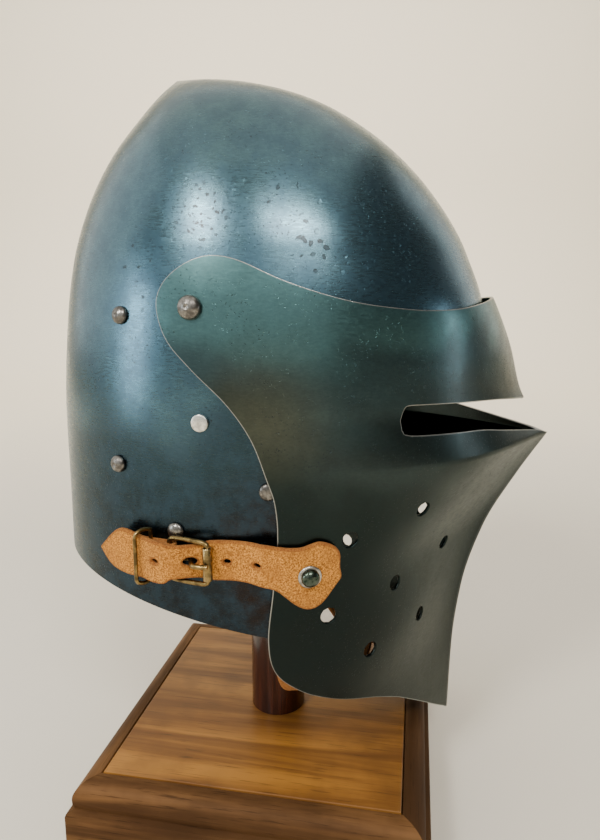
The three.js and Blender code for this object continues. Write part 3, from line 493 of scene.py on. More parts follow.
def blued_steel(name, bands, roughness, rim_wear_and_shade, wax, edge_tint, marks=(), stain_and_shade=None, patches=()):
    """Heat-blued steel under wax. bands holds colours by height, which run into one another in soft
    clouds: the heat's tints, made darker low down partly as painted shade; the rim colour is what
    the cut edges show, rubbed steel or a painted shade; wax is how much lies on the low and the
    high parts; marks are places where scale has pitted the metal; the stain is a colour that clouds
    the metal below its top and ahead of its back, a dark tint deepened partly as painted shade;
    patches are places of another colour."""
    material = plain_finish(name, bands[0][1], roughness, 1.0)
    tree = material.node_tree
    place = add_node(tree, "SeparateXYZ", Vector=add_node(tree, "TexCoord").outputs["Object"])
    heat_cloud = cloud(tree, HEAT_CLOUD, detail=2, distortion=0.4)
    drift = between(tree, heat_cloud, 0.3, 0.7, -HEAT_DRIFT, HEAT_DRIFT)
    height = work_out(tree, "ADD", place.outputs[2], drift)
    # colours by height: the heat's tints, darkened low down partly as painted shade
    colour = bands[0][1]
    for (low, _), (high, tint) in zip(bands, bands[1:]):
        colour = blend(tree, between(tree, height, low, high), colour, tint)
    mottle_share, mottle_colour = 0.22, bands[0][1]
    # a dark stain low down towards the front, deepened partly as painted shade
    if stain_and_shade:
        below = between(tree, place.outputs[2], stain_and_shade["top"], stain_and_shade["top"] - STAIN_AND_SHADE_FADE_DOWN)
        ahead = between(tree, place.outputs[1], stain_and_shade["back"], stain_and_shade["back"] - STAIN_AND_SHADE_FADE_AHEAD)
        clouded = between(tree, cloud(tree, STAIN_AND_SHADE_CLOUD, detail=5, distortion=0.6), 0.36, 0.56)
        colour = blend(tree, all_of(tree, below, ahead, clouded), colour, stain_and_shade["colour"])
        mottle_share, mottle_colour = 0.45, stain_and_shade["mottle"]
    for centre, reach, tint in patches:
        near = between(tree, away_from(tree, centre), reach, reach * 0.1, 0.0, 0.8)
        colour = blend(tree, near, colour, tint)
    mottle = cloud(tree, MOTTLE, detail=6, roughness=0.65)
    colour = blend(tree, between(tree, mottle, 0.34, 0.66, 0.0, mottle_share), colour, mottle_colour)
    grain = cloud(tree, GRAIN, detail=5, stretch=(0.4, 0.4, 1), roughness=0.7)
    colour = blend(tree, between(tree, grain, 0.34, 0.66, 0.0, 0.42), colour, GRAIN_COLOUR, "MULTIPLY")
    dirt = pitting(tree, marks)
    colour = blend(tree, all_of(tree, dirt, 0.75), colour, DIRT_COLOUR)
    # the cut edges: rubbed steel on the visor, and a dark painted shade on the skull piece
    colour = blend(tree, by_the_edge(tree, RIM_WEAR_AND_SHADE_REACH), colour, rim_wear_and_shade)

    brushing = cloud(tree, BRUSHING, detail=4, stretch=(0.15, 0.15, 1))
    shine = work_out(tree, "ADD", between(tree, brushing, 0.3, 0.7, roughness - 0.04, roughness + 0.04),
                     between(tree, mottle, 0.3, 0.7, -0.02, 0.04))
    ripple = cloud(tree, RIPPLE, detail=3, stretch=(1, 1, 0.3))
    surface = None
    for relief, rise, strength in (
            # what stands out or lies deep, how far in metres, and how strongly
            (cloud(tree, DENT, detail=1), 0.0007, 0.35),
            (ripple, 0.00010, 0.45),
            (brushing, 0.000012, 0.4),
            (cloud(tree, FINE_PIT, detail=5, roughness=0.7), 0.00004, 0.4),
            (work_out(tree, "SUBTRACT", 1.0, dirt), 0.00035, 1.0)):
        surface = raised(tree, relief, rise, strength, surface)
    dress(material, Base_Color=colour, Roughness=work_out(tree, "ADD", shine, all_of(tree, dirt, 0.15)),
          Normal=surface, Specular_Tint=edge_tint, Coat_Roughness=0.26, Coat_IOR=1.5,
          Coat_Weight=between(tree, height, WAX_LOW, WAX_HIGH, *wax),
          Coat_Normal=raised(tree, ripple, 0.00008, 0.4))
    return material


skull_steel = blued_steel(
    "skull_steel",
    # the heat's tints, darker low down partly as painted shade
    # height, colour
    [(0.120, (0.008, 0.010, 0.012)), (0.170, (0.011, 0.017, 0.022)), (0.215, (0.014, 0.038, 0.050)),
     (0.265, (0.065, 0.145, 0.185)), (0.335, (0.062, 0.135, 0.165)), (0.400, (0.075, 0.150, 0.160))],
    # its cut edges are a dark painted shade
    roughness=0.28, rim_wear_and_shade=(0.03, 0.03, 0.028), wax=(0.25, 0.62), edge_tint=(0.80, 0.86, 0.86),
    marks=[
        # centre, reach, cells in a metre, size, share of the cells
        ((-0.081, 0.031, 0.334), 0.023, 380.0, 0.26, 0.60),
        ((-0.083, -0.004, 0.334), 0.024, 210.0, 0.20, 0.30),
        ((-0.087, -0.022, 0.316), 0.016, 230.0, 0.22, 0.50),
        ((-0.077, 0.060, 0.309), 0.024, 260.0, 0.18, 0.35),
        ((0.080, 0.020, 0.330), 0.040, 230.0, 0.18, 0.20)],
    # a dark stain low down towards the front, deepened partly as painted shade
    stain_and_shade={"top": 0.235, "back": 0.045, "colour": (0.016, 0.010, 0.008), "mottle": (0.026, 0.062, 0.095)})
skull_shape = cut_sheet(skull_grid, skull_cut, STEEL, wraps=True)
# the crown's point closes both faces of the sheet above their first row
crown = in_frame(np.float64(SKULL_RINGS[0][1]), np.float64(0), np.float64(SKULL_RINGS[0][2]))
up = skull_shape["normals"][:SKULL_COLUMNS].mean(axis=0)
up /= np.linalg.norm(up)
outer_tip = len(skull_shape["points"])
inner_row = skull_shape["outer_count"]
skull_shape["points"] = np.concatenate([skull_shape["points"], [crown, crown - up * STEEL]])
skull_shape["normals"] = np.concatenate([skull_shape["normals"], [up, -up]])
skull_shape["from_edge"] = np.append(skull_shape["from_edge"], [WELL_INSIDE, WELL_INSIDE])
for k in range(SKULL_COLUMNS):
    j = (k + 1) % SKULL_COLUMNS
    skull_shape["faces"].append([outer_tip, j, k])
    skull_shape["faces"].append([outer_tip + 1, inner_row + k, inner_row + j])


def fit(piece, node):
    """The piece replaces a node of the model: it hangs from the model's root, and the node is hidden."""
    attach(piece, "root")
    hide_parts(node)


fit(add_object("skull_piece", skull_shape, skull_steel), "skull")

# The visor
# One piece of the same steel, folded to a keel in front with a lip under the eye slot and
# pierced to breathe, hung on a pivot over each temple.
VISOR_COLUMNS = 161
VISOR_ROWS = 180
VISOR_TOP, VISOR_FOOT = 28, -268
VISOR_WRAP = 1.36
LIP = -77.7
VISOR_LEVELS = [
    # level, keel, flank angle, keel reach, cheek reach, half width
    (30, 108, 80, 0.54, 0.56, 91),
    (0, 127.5, 78, 0.54, 0.58, 96.2),
    (-25, 138.3, 70, 0.50, 0.57, 97.8),
    (-52, 146.2, 62, 0.48, 0.56, 99),
    (LIP, 164.1, 47, 0.55, 0.60, 99.2),
    (-101.8, 147.8, 40, 0.48, 0.55, 99),
    (-137, 127.9, 33, 0.45, 0.48, 97.6),
    (-176, 116.2, 38, 0.42, 0.58, 94.2),
    (-215, 111.8, 44, 0.42, 0.50, 89),
    (-265, 110.6, 52, 0.42, 0.43, 84),
]
TEMPLE_RADIUS = 118
VISOR_OUTLINE = [
    (150, 8), (121.5, 2.1), (107, -1), (92.6, -3.4), (75, -4), (59.7, -3), (40.8, -0.5), (22.9, 3.9),
    (5.3, 9.9), (-12, 17.6), (-23, 20.1), (-32, 19), (-41.4, 14.3), (-48.6, 7.1), (-51.3, -2.8),
    (-46.8, -17.3), (-35.3, -30.5), (-19.4, -45.8), (-8.4, -61.7), (-1.4, -80.3), (2.3, -92.3),
    (3.4, -109.5), (1.2, -134.8), (-1.4, -161.7), (1.8, -179.7), (14.1, -191.3), (29.5, -199.3),
    (52.1, -209.6), (67.2, -220), (76.8, -228.7), (90.8, -242.6), (100, -252.1), (110.6, -262.5),
    (126, -278),
]
SLOT_UPPER = [(61.2, -55), (63.5, -49), (68, -48.4), (93.7, -49.8), (118, -51.8), (142, -55.7), (190, -64)]
SLOT_LOWER = [(190, -84), (163.8, -77.6), (155.9, -74.8), (126.3, -68.4), (108.7, -64.9), (93.7, -63.7),
              (67, -62.2), (62.4, -60.5)]
# a breath hole's radius in mm; how far it reaches along its axis and round its rim, in metres
BREATH_RADIUS = 4.2
BREATH_DEPTH, BREATH_RIM = 0.02, 0.007
BREATH_HOLES = [(38.1, -111.5), (28.2, -150.6), (75.9, -102.6), (64, -145), (50.4, -176.5),
                (96.8, -136.2), (82.1, -174.4)]


def visor_points(share, level):
    """share is 0 at the keel, 1 at the widest place and more towards the temple; it is less
    than nothing on the wearer's left."""
    rows = np.array(VISOR_LEVELS)[::-1]
    above, below = rows[rows[:, 0] >= LIP], rows[rows[:, 0] <= LIP]
    keel = np.where(level > LIP, smooth_column(above[:, 0], above[:, 1])(level),
                    smooth_column(below[:, 0], below[:, 1])(level))
    angle, keel_reach, cheek_reach, half = (
        smooth_column(rows[:, 0], rows[:, k])(level) for k in range(2, 6))
    angle = np.radians(angle)
    reach = keel_reach * half
    t = np.clip(np.abs(share), 0, 1)
    a, b, c, d = (1 - t) ** 3, 3 * (1 - t) ** 2 * t, 3 * (1 - t) * t * t, t ** 3
    forward = a * keel + b * (keel - reach * np.cos(angle)) + c * cheek_reach * keel
    side = b * reach * np.sin(angle) + (c + d) * half
    turn = np.clip(np.abs(share) - 1, 0, 1) * pi / 2
    forward = forward - TEMPLE_RADIUS * np.sin(turn)
    side = np.where(turn > 0, half * np.cos(turn), side)
    return in_frame(forward, side * np.sign(share), level)


visor_levels = np.linspace(VISOR_TOP, VISOR_FOOT, VISOR_ROWS)
level_grid, share_grid = np.meshgrid(visor_levels, np.linspace(-VISOR_WRAP, VISOR_WRAP, VISOR_COLUMNS),
                                     indexing="ij")
visor_grid = visor_points(share_grid, level_grid)


def spot_on(grid, forward, level):
    """The place on the right side of a sheet at a spot of the side view, and its outward direction."""
    points = grid[..., :3]
    target = np.array([-forward / 1000, BROW + level / 1000])
    reach = np.hypot(points[..., 1] - target[0], points[..., 2] - target[1])
    reach = np.where(points[..., 0] < 0, reach, 1)
    r, c = np.unravel_index(np.argmin(reach), reach.shape)
    r, c = min(max(r, 1), grid.shape[0] - 2), min(max(c, 1), grid.shape[1] - 2)
    p, across = points[r, c], (points[r, c + 1] - points[r, c - 1]) / 2
    down = (points[r + 1, c] - points[r - 1, c]) / 2
    u, v = np.linalg.solve(np.array([[across[1], down[1]], [across[2], down[2]]]), target - p[1:])
    outward = outward_normals(points, False)[r, c]
    return p + u * across + v * down, outward * (1 if outward[0] < 0 else -1)


visor_outline = [*smooth_line(VISOR_OUTLINE, 300), (FAR_OUT, VISOR_OUTLINE[-1][1]),
                 (FAR_OUT, VISOR_OUTLINE[0][1])]
slot_outline = [*smooth_line(SLOT_UPPER, 60), *smooth_line(SLOT_LOWER, 60)]
breath_spots = [spot_on(visor_grid, *hole) for hole in BREATH_HOLES]


def visor_cut(spots):
    """How far spots lie from the visor's outline, the eye slot and the breath holes."""
    seen = side_view(spots)
    depth = np.minimum(depth_inside(seen, visor_outline), -depth_inside(seen, slot_outline)) / 1000
    for centre, outward in breath_spots:
        for hand in (1, -1):
            away = spots[:, :3] - centre * (hand, 1, 1)
            axis = outward * (hand, 1, 1)
            along_axis = away @ axis
            aside = np.linalg.norm(away - along_axis[:, None] * axis, axis=1)
            hole = np.where(np.abs(along_axis) < BREATH_DEPTH, aside - BREATH_RADIUS / 1000, 1)
            depth = np.minimum(depth, hole)
    return depth


visor_steel = blued_steel(
    "visor_steel",
    # the heat's tints, darker low down partly as painted shade and lightest at the top partly as painted
    # reflection
    # height, colour
    [(0.080, (0.008, 0.011, 0.008)), (0.150, (0.003, 0.010, 0.009)), (0.200, (0.007, 0.017, 0.015)),
     (0.240, (0.022, 0.038, 0.036)), (0.266, (0.040, 0.078, 0.082)), (0.290, (0.074, 0.166, 0.165))],
    roughness=0.33, rim_wear_and_shade=(0.28, 0.28, 0.26), wax=(0.26, 0.48), edge_tint=(0.68, 0.72, 0.70),
    # centre, reach, colour
    patches=[((-0.098, 0.002, 0.245), 0.042, (0.072, 0.078, 0.050))])
visor_shape = cut_sheet(visor_grid, visor_cut, STEEL)
# the breath holes' edges aren't rubbed
for centre, _ in breath_spots:
    for hand in (1, -1):
        by_hole = np.linalg.norm(visor_shape["points"] - centre * (hand, 1, 1), axis=1) < BREATH_RIM
        visor_shape["from_edge"][by_hole] = WELL_INSIDE
fit(add_object("visor_piece", visor_shape, visor_steel), "visor")

# The rivets and the pivots
# Domed steel rivets through the sheets, hammered over inside. The pivots carry the visor, and
# one rivet on each side is newer, with a flat plated head.
RIVET_SIDES = 40
RIVET_KINDS = {
    # kind: head's diameter, its rise, shank's diameter, hammered end's height, in mm
    "pivot": (11.2, 4.4, 6.4, 1.2),
    "domed": (8.6, 3.2, 4.8, 1.2),
    "flat": (8.4, 1.7, 4.8, 1.2),
    "low": (8.6, 2.0, 4.8, 1.2),
    "under": (8.6, 2.4, 4.8, 1.2),
    "strap": (8.8, 3.2, 3.6, 0.7),
}
# how far a head stands off the metal, and a hammered end, in mm
STANDOFF = 0.3
RIVET_PLAY = 0.6
# the tool's mark on top of a domed head: out from the axis, down from the top
DIMPLE = [(0, -0.42), (0.55, -0.38), (0.95, -0.2), (1.25, -0.04), (1.6, -0.1)]
PIVOT_PLACE = (-34.7, -2.8)
SKULL_RIVETS = [
    # node, forward, level, kind, metal under the head
    ("rear_rivet_upper", -70.3, -6.5, "domed", 2),
    ("rear_rivet_lower", -74.7, -78.4, "domed", 2),
    ("bright_rivet", -31.6, -54.9, "flat", 2),
    ("chin_rivet", -0.7, -87.3, "low", 5.8),
    ("buckle_rivet", -45.6, -108.9, "under", 2),
]


def turned(profile, seat, lift=0.0, sides=RIVET_SIDES, crease=42):
    """A turned shape standing on a seat: profile gives radius and height in mm, from the top of
    the axis round to its foot."""
    centre, axis = seat
    axis = np.asarray(axis) / np.linalg.norm(axis)
    across = np.cross(axis, (0, 0, 1) if abs(axis[2]) < 0.9 else (1, 0, 0))
    across /= np.linalg.norm(across)
    up = np.cross(axis, across)
    points, rings = [], []
    for radius, height in profile:
        middle = centre + axis * (height + lift) / 1000
        if radius == 0:
            rings.append([len(points)])
            points.append(middle)
            continue
        rings.append(list(range(len(points), len(points) + sides)))
        for k in range(sides):
            turn = 2 * pi * k / sides
            points.append(middle + (across * cos(turn) + up * sin(turn)) * radius / 1000)
    faces = []
    for a, b in zip(rings, rings[1:]):
        for k in range(sides):
            j = (k + 1) % sides
            if len(a) == 1:
                faces.append([a[0], b[k], b[j]])
            elif len(b) == 1:
                faces.append([a[j], a[k], b[0]])
            else:
                faces.append([a[j], a[k], b[k], b[j]])
    if len(rings[0]) > 1 and profile[0] == profile[-1]:
        keep = len(points) - sides
        faces = [[i if i < keep else i - keep for i in face] for face in faces]
        points = points[:keep]
    return {"points": np.array(points), "faces": faces, "crease": crease}


def mirrored(shape):
    """The same shape on the wearer's left."""
    other = dict(shape)
    other["points"] = np.asarray(shape["points"]) * (-1, 1, 1)
    other["faces"] = [list(reversed(face)) for face in shape["faces"]]
    if "normals" in shape:
        other["normals"] = shape["normals"] * (-1, 1, 1)
    return other


def fit_pair(name, shape, material, node):
    """The same piece on both sides of the helmet."""
    fit(add_object(name + "_right", shape, material), node + "_right")
    fit(add_object(name + "_left", mirrored(shape), material), node + "_left")


def rivet_profile(kind, depth, dimple=False):
    """A rivet from the top of its head, which may hold a dimple, to its hammered end."""
    head, rise, shank, end_height = RIVET_KINDS[kind]
    radius, shank = head / 2, shank / 2
    if kind == "flat":
        top = [(0, rise), (radius - 0.7, rise - 0.02), (radius - 0.3, rise - 0.12),
               (radius - 0.06, rise - 0.42)]
    else:
        edge = rise * 0.13
        top = [(radius * sin(t * pi / 2), edge + (rise - edge) * cos(t * pi / 2))
               for t in np.linspace(0, 1, 12)]
        if dimple:
            top = [*[(out, rise + up) for out, up in DIMPLE], *top[3:]]
        top.append((radius - 0.02, edge * 0.4))
    back = -depth - RIVET_PLAY - STANDOFF
    return [*top, (radius - 0.12, 0), (shank, 0), (shank, back), (shank + 1.3, back),
            (shank + 1.35, back - end_height * 0.35), (shank + 1.0, back - end_height * 0.8),
            (shank * 0.6, back - end_height), (0, back - end_height)]


def hammered_metal(name, dark, light, roughness):
    """Metal with small dents, and darker and lighter patches."""
    material = plain_finish(name, dark, roughness, 1.0)
    tree = material.node_tree
    patches = cloud(tree, 2.4, detail=5)
    dents = raised(tree, cloud(tree, 2.0, detail=2), 0.00012, 0.6)
    dress(material, Base_Color=blend(tree, between(tree, patches, 0.35, 0.65), dark, light),
          Roughness=between(tree, patches, 0.3, 0.7, roughness + 0.08, roughness - 0.05),
          Normal=raised(tree, cloud(tree, 0.5, detail=3), 0.00002, 0.6, dents))
    return material


dark_rivet = hammered_metal("dark_rivet", (0.095, 0.087, 0.078), (0.25, 0.235, 0.21), 0.31)
bright_rivet = hammered_metal("bright_rivet", (0.52, 0.50, 0.44), (0.84, 0.82, 0.74), 0.32)

pivot_seat = spot_on(visor_grid, *PIVOT_PLACE)
pivot_inner = spot_on(skull_grid, *PIVOT_PLACE)
pivot_depth = float(np.linalg.norm(pivot_seat[0] - pivot_inner[0]) + STEEL) * 1000 + RIVET_PLAY
fit_pair("visor_pivot", turned(rivet_profile("pivot", pivot_depth, dimple=True), pivot_seat, STANDOFF),
         dark_rivet, "pivot")
for node, forward, level, kind, depth in SKULL_RIVETS:
    seat = spot_on(skull_grid, forward, level)
    shape = turned(rivet_profile(kind, depth + STANDOFF, dimple=kind == "domed"), seat, STANDOFF)
    metal, finish = (bright_rivet, "bright_rivet") if kind == "flat" else (dark_rivet, "dark_rivet")
    fit_pair(node + "_head", shape, metal, node)

# The visor straps
# A strap of rough tan leather on each side, 3 mm thick and flesh side out, cut to a lobed end
# that is riveted to the visor and to a point that goes through the buckle.
LEATHER = 3.0
STRAP_LEVEL = -121.2
STRAP_OUTLINE = [
    (-82, -120.9), (-71.2, -109.2), (-60, -110.6), (-48, -111.6), (-43.5, -112.7), (-33, -112.7),
    (-27, -111), (-12, -110.7), (-2.4, -110.8), (4, -111.8), (13.5, -112.2), (18.3, -110.8), (23, -109.8),
    (29, -112.3), (32, -116.5), (32.3, -124), (33, -128.8), (30.4, -133), (25, -140.4), (20.5, -143.5),
    (16, -143.6), (11.5, -141), (3.4, -134), (-4, -131.8), (-16, -130.9), (-27, -131), (-33, -129.8),
    (-43.5, -129.8), (-48, -132.2), (-60, -132.2), (-69, -131.6), (-76.2, -128.5),
]
# how far the strap's inner face stands off the skull piece, from its tail to the visor's edge
STRAP_LIFTS = [(-84, 5.2), (-71, 5.4), (-60.5, 5.4), (-53, 8), (-47.1, 8.9), (-41.5, 7.2), (-36.4, 4.3),
               (-32, 2.3), (-27.9, 1.6), (-18, 1.2), (-10, 2.8), (-3, 6.4), (5, 6.6)]
STRAP_OVER_VISOR = 0.7
# forward and radius of each hole, which is a little longer than wide
STRAP_HOLES = [(-51.5, 1.1), (-20, 1.1), (-6.1, 1.1), (-36.1, 2.0)]
HOLE_STRETCH = 1.25
# how far the cut edge is rounded, in metres
STRAP_EDGE = 0.0009
# the stretch of sheet that the strap is cut from, its cells, and the steps in which it is laid
# over the metal, in mm
STRAP_FRONT, STRAP_TAIL = 41, -92
STRAP_TOP, STRAP_FOOT = -105, -152
STRAP_CELL = 0.8
PLAN_STEP, LEAN_STEP, LEAN_STEP_DOWN = 1.0, 3.0, 6.0
EASED_OVER = 7
seat_change = STRAP_LIFTS[-1][0]
strap_lift = smooth_column(*zip(*STRAP_LIFTS))


def strap_seat(forward):
    """The metal under the strap at that place, the level direction off it and the strap's lift."""
    over = forward > seat_change
    point, outward = spot_on(visor_grid if over else skull_grid, forward, STRAP_LEVEL)
    flat = np.array([outward[0], outward[1], 0])
    return point, flat / np.linalg.norm(flat), STRAP_OVER_VISOR if over else float(strap_lift(forward))


def beside(forward, away, level=STRAP_LEVEL):
    """A spot at that distance off the metal at a place along the strap."""
    point, flat, _ = strap_seat(forward)
    spot = point + flat * away / 1000
    spot[2] = BROW + level / 1000
    return spot


def lean(forward, level):
    """How far the metal leans in at that level, against the strap's own level."""
    grid = visor_grid if forward > seat_change else skull_grid
    return spot_on(grid, forward, level)[0][0] - spot_on(grid, forward, STRAP_LEVEL)[0][0]


strap_forwards = np.arange(STRAP_FRONT, STRAP_TAIL, -STRAP_CELL)
strap_levels = np.arange(STRAP_TOP, STRAP_FOOT, -STRAP_CELL)
# the strap's way over the metal in plan, eased as leather eases it over a step
plan_forwards = np.arange(STRAP_TAIL - 2, STRAP_FRONT + 3, PLAN_STEP)
plan = np.array([beside(f, strap_seat(f)[2] + LEATHER)[:2] for f in plan_forwards])
weights = np.hanning(EASED_OVER + 2)[1:-1]
weights /= weights.sum()
strap_plan = []
for k in range(2):
    padded = np.pad(plan[:, k], EASED_OVER // 2, mode="reflect", reflect_type="odd")
    strap_plan.append(np.interp(strap_forwards, plan_forwards, np.convolve(padded, weights, "valid")))
# how far the metal leans in above and below the strap's own level
lean_forwards = np.arange(STRAP_TAIL - 2, STRAP_FRONT + 3, LEAN_STEP)
lean_levels = np.arange(STRAP_FOOT - 2, STRAP_TOP + 3, LEAN_STEP_DOWN)
lean_table = np.array([[lean(f, l) for l in lean_levels] for f in lean_forwards])
lean_along = np.array([np.interp(strap_forwards, lean_forwards, column) for column in lean_table.T])
strap_grid = np.zeros((len(strap_levels), len(strap_forwards), 5))
for row, level in enumerate(strap_levels):
    leans = [np.interp(level, lean_levels, column) for column in lean_along.T]
    strap_grid[row, :, 0] = strap_plan[0] + leans
    strap_grid[row, :, 1] = strap_plan[1]
    strap_grid[row, :, 2] = BROW + level / 1000
    strap_grid[row, :, 3] = strap_forwards
    strap_grid[row, :, 4] = level
strap_outline = smooth_line([*STRAP_OUTLINE, STRAP_OUTLINE[0]], 220)[:-1]


def strap_cut(spots):
    """How far spots lie from the strap's outline and its holes."""
    depth = depth_inside(spots[:, 3:5], strap_outline)
    for forward, radius in STRAP_HOLES:
        aside = np.hypot((spots[:, 3] - forward) / HOLE_STRETCH, spots[:, 4] - STRAP_LEVEL)
        depth = np.minimum(depth, aside - radius)
    return depth / 1000


suede = plain_finish("suede", (0.50, 0.235, 0.07), 0.95)
hide = suede.node_tree
nap = cloud(hide, 0.8, detail=6, roughness=0.8)
suede_colour = blend(hide, between(hide, nap, 0.42, 0.58), (0.215, 0.068, 0.010), (0.790, 0.335, 0.058))
blotches = between(hide, cloud(hide, 12, detail=4), 0.42, 0.66, 0.0, 0.45)
suede_colour = blend(hide, blotches, suede_colour, (0.36, 0.135, 0.026))
suede_colour = blend(hide, by_the_edge(hide, 0.0005, 0.6), suede_colour, (0.190, 0.055, 0.016))
fibres = raised(hide, cloud(hide, 0.6, detail=5, roughness=0.75), 0.00040, 0.8)
dress(suede, Base_Color=suede_colour, Normal=raised(hide, nap, 0.0007, 0.7, fibres),
      Specular_IOR_Level=0.15, Sheen_Weight=0.12, Sheen_Roughness=0.5, Sheen_Tint=(1.0, 0.7, 0.35))
strap_shape = cut_sheet(strap_grid, strap_cut, LEATHER / 1000, rim=STRAP_EDGE)
fit_pair("visor_strap", strap_shape, suede, "strap")

# The strap rivets
# A domed rivet of dark metal with a pale ring under its head holds each strap to the visor. It
# is hammered over inside.
STRAP_RIVET_PLACE = (17.8, -125.9)
WASHER_WIDTH, WASHER_HOLE, WASHER_THICK = 11.4, 5.2, 0.8
strap_rivet_seat = spot_on(visor_grid, *STRAP_RIVET_PLACE)
washer_lift = STRAP_OVER_VISOR + LEATHER + 2 * STANDOFF
washer_out, washer_in = WASHER_WIDTH / 2, WASHER_HOLE / 2
washer_profile = [
    (washer_in, 0), (washer_in, WASHER_THICK), (washer_out - 1.1, WASHER_THICK * 1.05),
    (washer_out - 0.5, WASHER_THICK * 0.95), (washer_out - 0.15, WASHER_THICK * 0.6), (washer_out, 0.1),
    (washer_out - 0.1, 0), (washer_in, 0)]
ring_steel = hammered_metal("ring_steel", (0.26, 0.245, 0.21), (0.50, 0.48, 0.43), 0.32)
fit_pair("strap_ring", turned(washer_profile, strap_rivet_seat, washer_lift), ring_steel, "strap_washer")
green_dome = hammered_metal("green_dome", (0.022, 0.034, 0.024), (0.085, 0.105, 0.080), 0.24)
strap_rivet_lift = washer_lift + WASHER_THICK + STANDOFF
strap_rivet_profile = rivet_profile("strap", strap_rivet_lift + STEEL * 1000 - STANDOFF)
strap_rivet_shape = turned(strap_rivet_profile, strap_rivet_seat, strap_rivet_lift)
fit_pair("strap_rivet_head", strap_rivet_shape, green_dome, "strap_rivet")

# The buckles
# A roller buckle of darkened brass on each side: a bent wire frame, a rolled tube on its front
# bar, a short tongue from its rear bar, and a wire keeper behind it.
# places along the strap, widths, wires, heights off the metal and play between pieces, in mm
HEEL_BAR, ROLLER_BAR, KEEPER_PLACE = -47.1, -27.9, -60.5
KEEPER_LEAN = 0.35
STRAP_WIDTH, STRAP_WAIST = 20.2, 17.1
WIRE, KEEPER_WIRE, TONGUE = 2.4, 2.0, 2.4
BAR_LIFT, ROLLER_LIFT, KEEPER_BACK = 4.4, 7.9, 2.6
ROLLER_OUTER, ROLLER_HALF = 4.6, 8.1
BUCKLE_PLAY, ROLLER_PLAY = 0.6, 0.42
KEEPER_PLAY, KEEPER_SIDE_PLAY, KEEPER_DROP = 1.5, 3.5, 0.3


def wire(corners, diameter, plane, closed, sides=14, fine=6):
    """A round wire bent through the given points, all in or near one plane."""
    corners = np.asarray(corners, float)
    count = len(corners)
    line = []
    for i in range(count if closed else count - 1):
        if closed:
            bend = [corners[(i + k) % count] for k in (-1, 0, 1, 2)]
        else:
            bend = [corners[min(max(i + k, 0), count - 1)] for k in (-1, 0, 1, 2)]
        line += [bend_through(*bend, t) for t in np.arange(fine) / fine]
    if closed:
        line = np.array(line)
        tangent = np.roll(line, -1, axis=0) - np.roll(line, 1, axis=0)
    else:
        line = np.array([*line, corners[-1]])
        tangent = np.gradient(line, axis=0)
    tangent /= np.linalg.norm(tangent, axis=1, keepdims=True)
    across = np.cross(tangent, np.asarray(plane) / np.linalg.norm(plane))
    across /= np.linalg.norm(across, axis=1, keepdims=True)
    up = np.cross(across, tangent)
    turns = np.arange(sides)[None, :, None] * 2 * pi / sides
    round_it = across[:, None] * np.cos(turns) + up[:, None] * np.sin(turns)
    points = line[:, None] + round_it * diameter / 2000
    total = len(line)
    faces = []
    for i in range(total if closed else total - 1):
        here, after = i * sides, (i + 1) % total * sides
        for k in range(sides):
            j = (k + 1) % sides
            faces.append([here + k, after + k, after + j, here + j])
    if not closed:
        faces += [list(range(sides)), [(total - 1) * sides + k for k in reversed(range(sides))]]
    return {"points": points.reshape(-1, 3), "faces": faces, "crease": 50}


brass = plain_finish("dark_brass", (0.30, 0.22, 0.10), 0.34, 1.0)
alloy = brass.node_tree
tarnish = cloud(alloy, 3.5, detail=5)
brass_colour = blend(alloy, between(alloy, tarnish, 0.38, 0.62), (0.070, 0.045, 0.015),
                     (0.260, 0.172, 0.060))
worn = between(alloy, add_node(alloy, "NewGeometry").outputs["Pointiness"], 0.52, 0.60, 0.0, 0.7)
dress(brass, Base_Color=blend(alloy, worn, brass_colour, (0.55, 0.40, 0.18)),
      Roughness=between(alloy, tarnish, 0.3, 0.7, 0.42, 0.26),
      Normal=raised(alloy, cloud(alloy, 1.2, detail=4), 0.00004, 0.5))


def frame_at(share, out):
    """A spot in the buckle's plane: 0 at the rear bar, 1 at the roller's, and so far up in mm."""
    heel = beside(HEEL_BAR, BAR_LIFT, STRAP_LEVEL + out)
    front = beside(ROLLER_BAR, ROLLER_LIFT, STRAP_LEVEL + out)
    return heel + (front - heel) * share


frame_half = STRAP_WAIST / 2 + BUCKLE_PLAY + WIRE / 2
frame_side = [(0, 4), (0, frame_half - 2.2), (0.05, frame_half - 0.5), (0.16, frame_half),
              (0.5, frame_half + 0.2), (0.84, frame_half), (0.95, frame_half - 0.5), (1, frame_half - 1.9),
              (1, 4)]
frame_corners = [frame_at(share, out) for share, out in frame_side]
frame_corners += [frame_at(share, -out) for share, out in reversed(frame_side)]
frame_plane = np.cross(frame_at(1, 0) - frame_at(0, 0), (0, 0, 1))
fit_pair("buckle_frame_wire", wire(frame_corners, WIRE, frame_plane, True), brass, "buckle_frame")
roller_seat = (beside(ROLLER_BAR, ROLLER_LIFT), (0, 0, 1))
roller_in, roller_out = WIRE / 2 + ROLLER_PLAY, ROLLER_OUTER / 2
roller_half = [(roller_in, ROLLER_HALF - 0.2), (roller_in + 0.2, ROLLER_HALF),
               (roller_out - 0.25, ROLLER_HALF), (roller_out, ROLLER_HALF - 0.3)]
roller_other = [(out, -along) for out, along in reversed(roller_half)]
roller_profile = [roller_other[-1], *roller_half, (roller_out, 0), *roller_other]
fit_pair("buckle_roller_tube", turned(roller_profile, roller_seat), brass, "buckle_roller")
tongue_top = ROLLER_LIFT + ROLLER_OUTER / 2 + STANDOFF + TONGUE / 2
